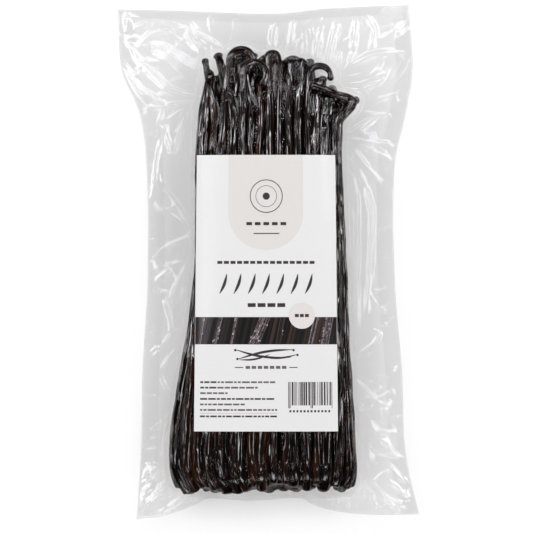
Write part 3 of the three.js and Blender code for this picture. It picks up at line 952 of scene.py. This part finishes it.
def film_heights(x, y, pods, side, settings):
    """The film's heights: drawn against the pods and the other film, taut between what holds it."""
    base = flange_height(x, y)
    creases = np.zeros_like(x)
    for half_width, height, *points in CREASES:
        ways = [at_px(*point) for point in points]
        creases = np.maximum(creases, crease_height(x, y, ways, half_width, height))
    creases = np.maximum(creases, fine_creases(x, y, np.random.default_rng(3)))
    to_edge = edge_distance(x, y)
    creases *= smooth(to_edge, 0.2 * MM, 5 * MM)
    sealed = 1 - smooth(to_edge, 0.4 * MM, 9 * MM)
    ripple = RIPPLE * np.sin(x / (1.9 * MM) + 2 * np.sin(y / (6 * MM))) * np.sin(y / (3.1 * MM) + 1.3)
    folded = base + creases * (1 if side > 0 else BACK_CREASES) + ripple * (1 - sealed)
    hits = heights_under(pods, x, y, side)
    # From here on heights are counted away from the other film, so that one pull serves both films.
    rest = side * folded + (FILM_HALF + FILM_PART * (1 - sealed))
    hits = side * hits
    is_over = ~np.isnan(hits)
    held = np.where(is_over, hits + settings.gap, -1)
    ceiling = np.inf if side > 0 else -FILM_FLOOR
    floor = np.minimum(np.maximum(widened(held), rest), ceiling)
    cell = np.mean(np.hypot(np.diff(x, axis=1), np.diff(y, axis=1)))
    pull = settings.pull / MM * cell * cell / 4
    film = floor.copy()
    for _ in range(PULL_STEPS):
        film = np.maximum(neighbours_mean(film) - pull, floor)
    near_pods = widened(widened(is_over))
    for _ in range(2):
        film = np.where(near_pods, neighbours_mean(film), film)
        film = np.minimum(np.maximum(film, held), ceiling)
    off_pods = smooth(np.abs(film - np.nan_to_num(hits)), 1 * MM, 6 * MM)
    return side * film, is_over * (1 - off_pods)


def edge_distance(x, y):
    """How far each point of the pattern lies inside the bag's edge."""
    left = np.abs(x - x[:, :1])
    right = np.abs(x - x[:, -1:])
    bottom = np.abs(y - y[:1])
    top = np.abs(y - y[-1:])
    return np.minimum(np.minimum(left, right), np.minimum(bottom, top))


def film_sheet(cells_across, cells_along, pods, side, settings, name):
    """One film as a grid laid over the pods."""
    sheet, spots = unit_grid(name, cells_across, cells_along)
    columns = np.rint((spots[:, 0] + 0.5) * cells_across).astype(int)
    rows = np.rint((spots[:, 1] + 0.5) * cells_along).astype(int)
    along = crowded(np.linspace(0, 1, cells_along + 1), 0.3)
    across = crowded(np.linspace(0, 1, cells_across + 1), 0.35)
    v, u = np.meshgrid(along, across, indexing="ij")
    x, y = outline_point(u, v)
    z, shine_cut = film_heights(x, y, pods, side, settings)
    to_side = np.minimum(np.abs(x - x[:, :1]), np.abs(x - x[:, -1:]))
    sealed_side = 1 - smooth(to_side, 0.96 * settings.side_seal, 1.04 * settings.side_seal)
    sealed_top = 1 - smooth(np.abs(y - y[-1:]), 0.94 * settings.top_seal, 1.06 * settings.top_seal)
    place_points(sheet.data, np.column_stack([grid[rows, columns] for grid in (x, y, z)]))
    # Painted light: beside the bundle the film's shine is cut by up to about half, which lightens the film
    # where the bundle's shadow darkens the floor under it.
    beside = 0.6 * (1 - smooth(off_bundle(x, y), 1 * MM, 11 * MM))
    add_attribute(sheet.data, "shine_cut", np.maximum(shine_cut, beside)[rows, columns])
    add_attribute(sheet.data, "sealed", np.maximum(sealed_side, sealed_top)[rows, columns])
    if side < 0:
        bpy.ops.object.mode_set(mode="EDIT")
        bpy.ops.mesh.select_all(action="SELECT")
        bpy.ops.mesh.flip_normals()
        bpy.ops.object.mode_set(mode="OBJECT")
    return sheet


def close_rim(film):
    """Bridges the open rims of the two films into one closed skin."""
    select(film)
    bpy.ops.object.mode_set(mode="EDIT")
    bpy.ops.mesh.select_mode(type="EDGE")
    bpy.ops.mesh.select_all(action="DESELECT")
    bpy.ops.mesh.select_non_manifold(
        extend=False, use_wire=False, use_multi_face=False, use_non_contiguous=False, use_verts=False
    )
    bpy.ops.mesh.bridge_edge_loops()
    bpy.ops.object.mode_set(mode="OBJECT")


def film_material(settings):
    """Clear film: it lets the light through, shines by its angle, and is embossed where it is sealed."""
    material, tree, shader = new_material("clear_film")
    place = object_place(tree)
    shine_cut = stored(tree, "shine_cut")
    sealed = stored(tree, "sealed")
    turned = node(tree, "ShaderNodeMapping", {
        "Vector": place,
        "Rotation": (0, 0, math.radians(45)),
        "Scale": (1, 1, 0),
    }).outputs[0]
    waves = {"Vector": turned, "Scale": 285.0}
    across, along = (
        node(tree, "ShaderNodeTexWave", waves, bands_direction=axis).outputs["Fac"] for axis in ("X", "Y")
    )
    emboss = times(tree, times(tree, across, along), plus(tree, times(tree, sealed, 0.2), 0.6))
    height = plus(tree, times(tree, emboss, 0.13), times(tree, noise(tree, place, 420), 0.05))
    normal = bump(tree, height, 1.0, 0.25 * MM)
    feed(tree, shader, {
        "Base Color": (0.93, 0.93, 0.93, 1),
        "Metallic": 1.0,
        "Roughness": 0.08,
        "Normal": normal,
    })
    clear = node(tree, "ShaderNodeBsdfTransparent", {"Color": (*settings.tint, 1)})
    fresnel = node(tree, "ShaderNodeFresnel", {"Normal": normal, "IOR": 1.5}).outputs[0]
    strength = plus(tree, times(tree, sealed, 1.1), 2.6)
    # Shine is cut where the film clings to the pods, and also beside the bundle, where the cut is painted
    # light that offsets the bundle's shadow.
    off_pods = math_node(tree, "SUBTRACT", 1.0, times(tree, shine_cut, 0.88))
    shine = times(tree, times(tree, math_node(tree, "MINIMUM", fresnel, 0.09), strength), off_pods)
    shadow = node(tree, "ShaderNodeLightPath").outputs["Is Shadow Ray"]
    shine = times(tree, shine, math_node(tree, "SUBTRACT", 1.0, shadow))
    mix = node(tree, "ShaderNodeMixShader", {0: shine, 1: clear.outputs[0], 2: shader.outputs[0]})
    feed(tree, tree.nodes["Material Output"], {"Surface": mix.outputs[0]})
    return material


class VANILLA_OT_film(bpy.types.Operator):
    """Add the clear film, drawn tight round the pods and sealed at its edges"""

    bl_idname = "vanilla.film"
    bl_label = "Film"

    def execute(self, context):
        settings = context.scene.vanilla_film
        graph = context.evaluated_depsgraph_get()
        pods = [BVHTree.FromObject(bpy.data.objects[name], graph) for name in POD_PIECES]
        front = film_sheet(settings.across, settings.along, pods, 1, settings, "film_front")
        back = film_sheet(settings.across // 2, settings.along // 2, pods, -1, settings, "film_back")
        film = join([front, back], "bag_film")
        close_rim(film)
        shade_smooth(film)
        film.data.materials.append(film_material(settings))
        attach(film, "root")
        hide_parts("sealed_bag")
        return {"FINISHED"}


# The label and its print


LABEL_TAPER = 0.042  # how much narrower the label lies at its top than at its foot, as a share
LABEL_CELL = 0.8 * MM
LABEL_GAP = 0.05 * MM  # between the film and the paper
LABEL_SPREADS = 3  # how often the paper's surface is widened over the pods, and then evened out
LABEL_EVENINGS = 18


def label_x(x, y, settings):
    """Where a place across the flat label comes to lie: it draws in towards the bundle's rounder top."""
    share = (np.asarray(y) - settings.middle[1]) / settings.size[1]
    return settings.middle[0] + (x - settings.middle[0]) * (1 - LABEL_TAPER * share)


class LabelSurface:
    """Heights of the label over its own regular grid, read anywhere on it."""

    def __init__(self, settings, tree):
        self.settings = settings
        self.low = np.array(settings.middle) - np.array(settings.size) / 2
        self.size = np.array(settings.size)
        self.cells = np.rint(self.size / LABEL_CELL).astype(int)
        xs = self.low[0] + self.size[0] * np.linspace(0, 1, self.cells[0] + 1)
        ys = self.low[1] + self.size[1] * np.linspace(0, 1, self.cells[1] + 1)
        y, x = np.meshgrid(ys, xs, indexing="ij")
        film = heights_under([tree], label_x(x, y, settings), y, 1)
        film = np.where(np.isnan(film), np.nanmin(film), film)
        for _ in range(LABEL_SPREADS):
            film = widened(film)
        for _ in range(LABEL_EVENINGS):
            mean = neighbours_mean(film)
            mean[0], mean[-1] = mean[1], mean[-2]
            mean[:, 0], mean[:, -1] = mean[:, 1], mean[:, -2]
            film = mean
        self.heights = film + LABEL_GAP + settings.thickness

    def height(self, x, y):
        """The label's top at a place."""
        u = np.clip((np.asarray(x) - self.low[0]) / self.size[0], 0, 1) * self.cells[0]
        v = np.clip((np.asarray(y) - self.low[1]) / self.size[1], 0, 1) * self.cells[1]
        i = np.minimum(u.astype(int), self.cells[0] - 1)
        j = np.minimum(v.astype(int), self.cells[1] - 1)
        fu, fv = u - i, v - j
        grid = self.heights
        low = grid[j, i] * (1 - fu) + grid[j, i + 1] * fu
        high = grid[j + 1, i] * (1 - fu) + grid[j + 1, i + 1] * fu
        return low * (1 - fv) + high * fv


def paper_material(name, colour, roughness):
    """Smooth satin label paper, or ink printed on it."""
    material, tree, shader = new_material(name)
    group = bpy.data.node_groups.get("Paper Grain") or build_paper_group()
    grain = node(tree, "ShaderNodeGroup", {"Vector": object_place(tree)}, node_tree=group).outputs
    darker = tuple(c * 0.965 for c in colour)
    feed(tree, shader, {
        "Base Color": mix_colour(tree, grain["Fibres"], darker, colour),
        "Roughness": plus(tree, times(tree, grain["Fibres"], 0.06), roughness),
        "Normal": grain["Normal"],
        "Coat Weight": 0.35,
        "Coat Roughness": 0.16,
    })
    return material


def build_paper_group():
    """Faint paper fibres: a mask and a normal."""
    outputs = {"Fibres": "Float", "Normal": "Vector"}
    group, given, sink = new_group("Paper Grain", {"Vector": "Vector"}, outputs)
    fibres = noise(group, given["Vector"], 1800, 4)
    mask = ramp(group, fibres, 0.3, 0.7)
    feed(group, sink, {"Fibres": mask, "Normal": bump(group, fibres, 0.4, 0.02 * MM)})
    return group


def label_surface(context):
    """The label's surface over the film."""
    graph = context.evaluated_depsgraph_get()
    tree = BVHTree.FromObject(bpy.data.objects["bag_film"], graph)
    return LabelSurface(context.scene.vanilla_label, tree)


class VANILLA_OT_label(bpy.types.Operator):
    """Add the paper label, soft over the pods under it"""

    bl_idname = "vanilla.label"
    bl_label = "Label"

    def execute(self, context):
        settings = context.scene.vanilla_label
        surface = label_surface(context)
        sheet, spots = unit_grid("label_sheet", *(int(cells) for cells in surface.cells))
        sheet.data.name = "label_sheet"
        sheet.data.materials.append(paper_material("label_paper", settings.paper, 0.42))
        x = settings.middle[0] + spots[:, 0] * settings.size[0]
        y = settings.middle[1] + spots[:, 1] * settings.size[1]
        place_points(sheet.data, np.column_stack([label_x(x, y, settings), y, surface.height(x, y)]))
        shade_smooth(sheet)
        thick = sheet.modifiers.new("Paper", "SOLIDIFY")
        thick.thickness = settings.thickness
        thick.offset = -1
        bpy.ops.object.modifier_apply(modifier=thick.name)
        bpy.ops.object.shade_smooth_by_angle(angle=math.radians(40))
        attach(sheet, "root")
        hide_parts("label")
        return {"FINISHED"}


# Every ink but the two in the label's settings: web colour and roughness.
INKS = {
    "badge": ("e3dfdb", 0.42),
    "fine": ("666160", 0.42),
    "rule": ("a8a4a2", 0.42),
    "bean_dark": ("1a1514", 0.36),
    "bean_black": ("080606", 0.36),
    "bean_mid": ("2c2423", 0.36),
    "bean_warm": ("3f2b24", 0.36),
    "bean_light": ("584c4e", 0.36),
    "bean_shine": ("8b7f85", 0.36),
    "bean_glint": ("c4bac2", 0.36),
}
INK_LIFT = 0.03 * MM  # how far each layer of ink lies over the one below
BAR_CELL = 1.2  # the grids' cells, in millimetres
RING_CELL = 0.9
RING_CELLS = 48


class Printer:
    """Lays printed shapes, in millimetres, on the label, each a small grid bent over its surface."""

    def __init__(self, surface, inks):
        self.surface = surface
        self.inks = inks
        self.pieces = []

    def lay(self, ink, across, along, place, layer=1):
        """A grid whose unit square is mapped onto the label by place(u, v)."""
        piece, spots = unit_grid("print", across, along)
        x, y = place(spots[:, 0] + 0.5, spots[:, 1] + 0.5)
        z = self.surface.height(x, y) + INK_LIFT * layer
        place_points(piece.data, np.column_stack([label_x(x, y, self.surface.settings), y, z]))
        piece.data.materials.append(self.inks[ink])
        self.pieces.append(piece)

    def bar(self, ink, left, right, bottom, top, layer=1):
        """An upright rectangle."""
        across = max(int((right - left) / BAR_CELL), 1)
        along = max(int((top - bottom) / BAR_CELL), 1)

        def place(u, v):
            return (left + (right - left) * u) * MM, (bottom + (top - bottom) * v) * MM

        self.lay(ink, across, along, place, layer)

    def row(self, ink, count, step, left, right, bottom, top, layer=1):
        """Equal bars side by side, the first from left to right."""
        for k in range(count):
            self.bar(ink, left + k * step, right + k * step, bottom, top, layer)

    def disc(self, ink, middle, inner, outer, layer):
        """A disc or a ring."""

        def place(u, v):
            r = (inner + (outer - inner) * v) * MM
            turn = 2 * math.pi * u
            return middle[0] * MM + r * np.cos(turn), middle[1] * MM - r * np.sin(turn)

        self.lay(ink, RING_CELLS, max(int((outer - inner) / RING_CELL), 1), place, layer)

    def lens(self, ink, start, end, half_width, layer=1, bow=0):
        """A slender pointed shape from start to end, bowed to one side."""
        start, end = Vector(start), Vector(end)
        way = end - start
        across = Vector((way.y, -way.x)).normalized()

        def place(u, v):
            swell = np.sin(math.pi * np.clip(v, 0.02, 0.98))
            wide = half_width * swell**0.7 * (2 * u - 1) + bow * swell
            x = start.x + way.x * v + across.x * wide
            y = start.y + way.y * v + across.y * wide
            return x * MM, y * MM

        self.lay(ink, 2, 12, place, layer)


def print_upper_field(printer):
    """The beige field with a round bottom, the emblem and the heading's plain shapes."""
    middle, half = -1.1, 15.8
    bottom, straight_bottom, top = 4.7, 20.5, 44.5

    def field(u, v):
        y = bottom + (top - bottom) * v
        below = np.clip((straight_bottom - y) / half, 0, 1)
        return (middle + half * np.sqrt(1 - below**2) * (2 * u - 1)) * MM, y * MM

    printer.lay("beige", 24, 40, field)
    for inner, outer in ((6.6, 6.95), (4.3, 4.5), (0.0, 1.5)):
        printer.disc("ink", (-0.9, 27.3), inner, outer, 2)
    printer.row("ink", 5, 3.6, -9.3, -6.9, 15.2, 16.5, 2)
    printer.bar("fine", -6.2, 4.6, 11.5, 12.0, 2)
    printer.row("ink", 15, 2.76, -21.4, -19.3, -0.9, 0.3)
    for k in range(7):
        x = -18.9 + k * 5.95
        printer.lens("ink", (x - 1.5, -13.4), (x + 1.5, -5.0), 0.62, bow=0.5)
    printer.row("ink", 4, 4.1, -8.6, -5.3, -18.9, -17.3)


DARK_STRIPES = 34
# The light pods printed on the band: x at its bottom and top, half the width in millimetres, and how light.
PRINTED_PODS = (
    (-29.0, -27.3, 1.2, 0.35),
    (-22.3, -19.6, 1.1, 0.8),
    (-15.2, -13.0, 0.9, 0.9),
    (-6.2, -1.4, 2.5, 1.0),
    (4.0, 6.1, 1.2, 0.25),
    (17.6, 20.2, 1.3, 0.5),
    (22.9, 25.1, 2.2, 0.9),
)


def print_band(printer):
    """The band across the label, printed with slanting pods."""
    bottom, top, left, right = -34.5, -23.1, -30.4, 28.4
    printer.bar("bean_dark", left, right, bottom, top)
    rng = np.random.default_rng(5)

    def slash(ink, low, high, half_width, layer):
        """A slanting stripe from the band's bottom to its top."""

        def place(u, v):
            x = low + (high - low) * v + half_width * (2 * u - 1)
            return np.clip(x, left, right) * MM, (bottom + (top - bottom) * v) * MM

        printer.lay(ink, 2, 8, place, layer)

    for k in range(DARK_STRIPES):
        x = left + 1 + (right - left - 5) * (k + rng.uniform(0, 0.9)) / DARK_STRIPES
        ink = rng.choice(("bean_mid", "bean_black", "bean_warm", "bean_black"))
        slash(ink, x, x + 2.6, rng.uniform(0.15, 0.7), 2)
    for low, high, half, light in PRINTED_PODS:
        slash("bean_mid", low, high, half, 3)
        for _ in range(int(9 * half)):
            off = rng.uniform(-0.9, 0.9) * half
            is_light = rng.random() < light * 0.75
            ink = rng.choice(("bean_light", "bean_shine") if is_light else ("bean_warm", "bean_black"))
            slash(ink, low + off, high + off, rng.uniform(0.08, 0.2), 4)
        for _ in range(int(14 * half * light)):
            off, v = rng.uniform(-0.95, 0.95) * half, rng.uniform(0.06, 0.9)
            spot = (low + (high - low) * v + off, bottom + (top - bottom) * v)
            tip = (spot[0] + rng.uniform(0.1, 0.5), spot[1] + rng.uniform(0.5, 1.1))
            ink = rng.choice(("bean_glint", "bean_shine", "bean_black"))
            printer.lens(ink, spot, tip, rng.uniform(0.1, 0.24), 5)


def print_badge(printer):
    """The round badge that overlaps the band's corner."""
    x, y = 13.9, -22.6
    printer.disc("badge", (x, y), 0, 5.4, 6)
    printer.row("ink", 3, 2.1, x - 2.9, x - 1.3, y - 0.5, y + 0.8, 7)


def print_lower_field(printer):
    """The row of slender pods, the small rows and the bars below the band."""
    for low, high, width, bow in (
        ((-14, -36.5), (9.3, -39.9), 0.5, 1.4),
        ((-12.8, -40.8), (10.6, -36.7), 0.52, -1.2),
        ((-4.0, -39.4), (12.2, -38.6), 0.42, 1.2),
        ((-12.2, -40.9), (0.5, -38.7), 0.4, 0.9),
    ):
        printer.lens("ink", low, high, width, bow=bow)
    for knob in ((-13.7, -36.9), (-12.8, -40.6), (10.4, -36.9), (12.0, -38.9)):
        printer.disc("ink", knob, 0, 0.5, 2)
    printer.bar("ink", -13.9, -10.4, -44.3, -43.95)
    printer.bar("ink", 8.6, 12.0, -44.3, -43.95)
    printer.row("fine", 7, 2.5, -9.4, -7.6, -44.7, -43.5)
    rng = np.random.default_rng(11)
    ends = (2.8, -4.4, -16.8, 2.6, -9.4, 3.6, 4.0)
    rows = (-50.3, -52.6, -54.9, -57.3, -59.6, -61.9, -64.6)
    for number, (end, y) in enumerate(zip(ends, rows)):
        x = -28.1
        while x < end - 0.6:
            is_bold = number in (3, 6) or number < 2 and x < -22
            length = min(rng.uniform(0.9, 3.4), end - x)
            printer.bar("ink" if is_bold else "fine", x, x + length, y - 0.36, y + 0.36)
            x += length + 0.45
    printer.bar("rule", -28.1, 4.0, -63.35, -63.2)
    x = 8.2
    while x < 26.2:
        width = rng.choice((0.22, 0.22, 0.44, 0.66))
        bottom = -61.2 if x < 9 or 16.8 < x < 17.8 or x > 25.4 else -60
        printer.bar("ink", x, x + width, bottom, -50.2)
        x += width + rng.choice((0.24, 0.24, 0.48))
    printer.row("ink", 12, 1.45, 8.6, 9.4, -62.9, -62.0)


class VANILLA_OT_print(bpy.types.Operator):
    """Add the label's print as plain shapes"""

    bl_idname = "vanilla.label_print"
    bl_label = "Label Print"

    def execute(self, context):
        settings = context.scene.vanilla_label
        inks = {
            name: paper_material(f"print_{name}", srgb(code), roughness)
            for name, (code, roughness) in INKS.items()
        }
        inks["beige"] = paper_material("print_beige", settings.beige, 0.42)
        inks["ink"] = paper_material("print_ink", settings.ink, 0.38)
        printer = Printer(label_surface(context), inks)
        for lay_part in (print_upper_field, print_band, print_badge, print_lower_field):
            lay_part(printer)
        piece = join(printer.pieces, "label_print")
        shade_smooth(piece)
        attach(piece, "root")
        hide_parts("label")
        return {"FINISHED"}


# The camera and the stage

CAMERA_DISTANCE = 1.2
CAMERA_TILT = 0.5
FRAME_WIDTH = FRAME_PX * MM_A_PX * MM
SENSOR = 36
BOX_COLOUR = (0.985, 0.978, 1)
STRIP_COLOUR = (0.94, 0.91, 1)
# Soft boxes for the film's broad folds and narrow strips for its finer ones: name, place, size, power and
# colour.
LIGHTS = (
    ("left_box", (-0.45, 0.2, 0.6), (1.0, 0.17), 1.6, BOX_COLOUR),
    ("right_box", (0.47, 0.2, 0.58), (1.0, 0.17), 1.6, BOX_COLOUR),
    ("head_box", (0, 0.52, 0.64), (0.7, 0.12), 0.55, BOX_COLOUR),
    ("foot_box", (0, -0.56, 0.56), (0.7, 0.1), 0.62, BOX_COLOUR),
    ("left_strip", (-0.34, 0.3, 0.74), (0.8, 0.022), 0.5, STRIP_COLOUR),
    ("right_strip", (0.34, 0.3, 0.74), (0.8, 0.022), 0.5, STRIP_COLOUR),
    ("head_strip", (0, 0.46, 0.72), (0.5, 0.022), 0.28, STRIP_COLOUR),
    ("foot_strip", (0, -0.4, 0.74), (0.5, 0.022), 0.2, STRIP_COLOUR),
)


class VANILLA_OT_camera(bpy.types.Operator):
    """Add the camera, looking down on the pack"""

    bl_idname = "vanilla.camera"
    bl_label = "Camera"

    def execute(self, context):
        aim = Vector((*at_px(FRAME_PX / 2, FRAME_PX / 2), 15 * MM))
        tilt = math.radians(CAMERA_TILT)
        place = aim + CAMERA_DISTANCE * Vector((0, -math.sin(tilt), math.cos(tilt)))
        bpy.ops.object.camera_add(location=place, rotation=(tilt, 0, 0))
        camera = context.object
        camera.name = "camera"
        camera.data.sensor_fit = "HORIZONTAL"
        camera.data.sensor_width = SENSOR
        camera.data.lens = SENSOR * CAMERA_DISTANCE / FRAME_WIDTH
        camera.data.dof.use_dof = False
        camera.data.clip_start = 0.01
        context.scene.camera = camera
        return {"FINISHED"}


def soft_box(name, place, size, power, colour):
    """A rectangular soft light that faces the pack, with its first size level."""
    bpy.ops.object.light_add(type="AREA", location=place)
    lamp = bpy.context.object
    lamp.name = name
    is_beside = place[0] != 0
    aim = Vector((0, place[1] if is_beside else 0, 0))
    lamp.rotation_euler = (aim - Vector(place)).to_track_quat("-Z", "Y").to_euler()
    lamp.data.shape = "RECTANGLE"
    lamp.data.size, lamp.data.size_y = size
    lamp.data.energy = power
    lamp.data.color = colour


def build_world():
    """A pale surround, dimmer where it is only mirrored."""
    world = bpy.data.worlds.new("studio")
    bpy.context.scene.world = world
    world.use_nodes = True
    tree = world.node_tree
    path = node(tree, "ShaderNodeLightPath").outputs
    colour = mix_colour(tree, path["Is Glossy Ray"], (0.475, 0.472, 0.462), (0.012, 0.009, 0.008))
    seen = mix_colour(tree, path["Is Camera Ray"], colour, (0.97, 0.97, 0.97))
    feed(tree, tree.nodes["Background"], {"Color": seen})


class VANILLA_OT_stage(bpy.types.Operator):
    """Add the white floor, the soft lights and the pale surround"""

    bl_idname = "vanilla.stage"
    bl_label = "Stage"

    def execute(self, context):
        select()
        bpy.ops.mesh.primitive_plane_add(size=6)
        material, tree, shader = new_material("white_floor")
        feed(tree, shader, {
            "Base Color": (0.84, 0.84, 0.84, 1),
            "Emission Color": (1, 1, 1, 1),
            "Emission Strength": 0.16,
            "Roughness": 0.9,
            "Specular IOR Level": 0.1,
        })
        floor = context.object
        floor.name = "floor"
        floor.data.materials.append(material)
        for light in LIGHTS:
            soft_box(*light)
        build_world()
        context.scene.view_settings.view_transform = "Standard"
        return {"FINISHED"}


class VANILLA_PT_panel(bpy.types.Panel):
    """Lists the pack's pieces in the sidebar"""

    bl_label = "Vanilla Pack"
    bl_space_type = "VIEW_3D"
    bl_region_type = "UI"
    bl_category = "Vanilla Pack"

    def draw(self, context):
        for group in ("vanilla_pods", "vanilla_film", "vanilla_label"):
            settings = getattr(context.scene, group)
            for name in settings.bl_rna.properties.keys():
                if name not in ("rna_type", "name"):
                    self.layout.prop(settings, name)
        for operator in OPERATORS:
            self.layout.operator(operator.bl_idname)


OPERATORS = (
    VANILLA_OT_camera,
    VANILLA_OT_outer_pods,
    VANILLA_OT_inner_pods,
    VANILLA_OT_film,
    VANILLA_OT_label,
    VANILLA_OT_print,
    VANILLA_OT_stage,
)
GROUPS = {
    "vanilla_pods": VanillaPodSettings,
    "vanilla_film": VanillaFilmSettings,
    "vanilla_label": VanillaLabelSettings,
}


def register():
    for group in GROUPS.values():
        bpy.utils.register_class(group)
    for name, group in GROUPS.items():
        setattr(bpy.types.Scene, name, PointerProperty(type=group))
    for made in (*OPERATORS, VANILLA_PT_panel):
        bpy.utils.register_class(made)


def unregister():
    for made in reversed((*OPERATORS, VANILLA_PT_panel)):
        bpy.utils.unregister_class(made)
    for name, group in GROUPS.items():
        delattr(bpy.types.Scene, name)
        bpy.utils.unregister_class(group)


def main():
    """Makes every piece in order."""
    register()
    bpy.ops.vanilla.camera()
    bpy.ops.vanilla.outer_pods()
    bpy.ops.vanilla.inner_pods()
    bpy.ops.vanilla.film()
    bpy.ops.vanilla.label()
    bpy.ops.vanilla.label_print()
    bpy.ops.vanilla.stage()


if __name__ == "__main__":
    main()
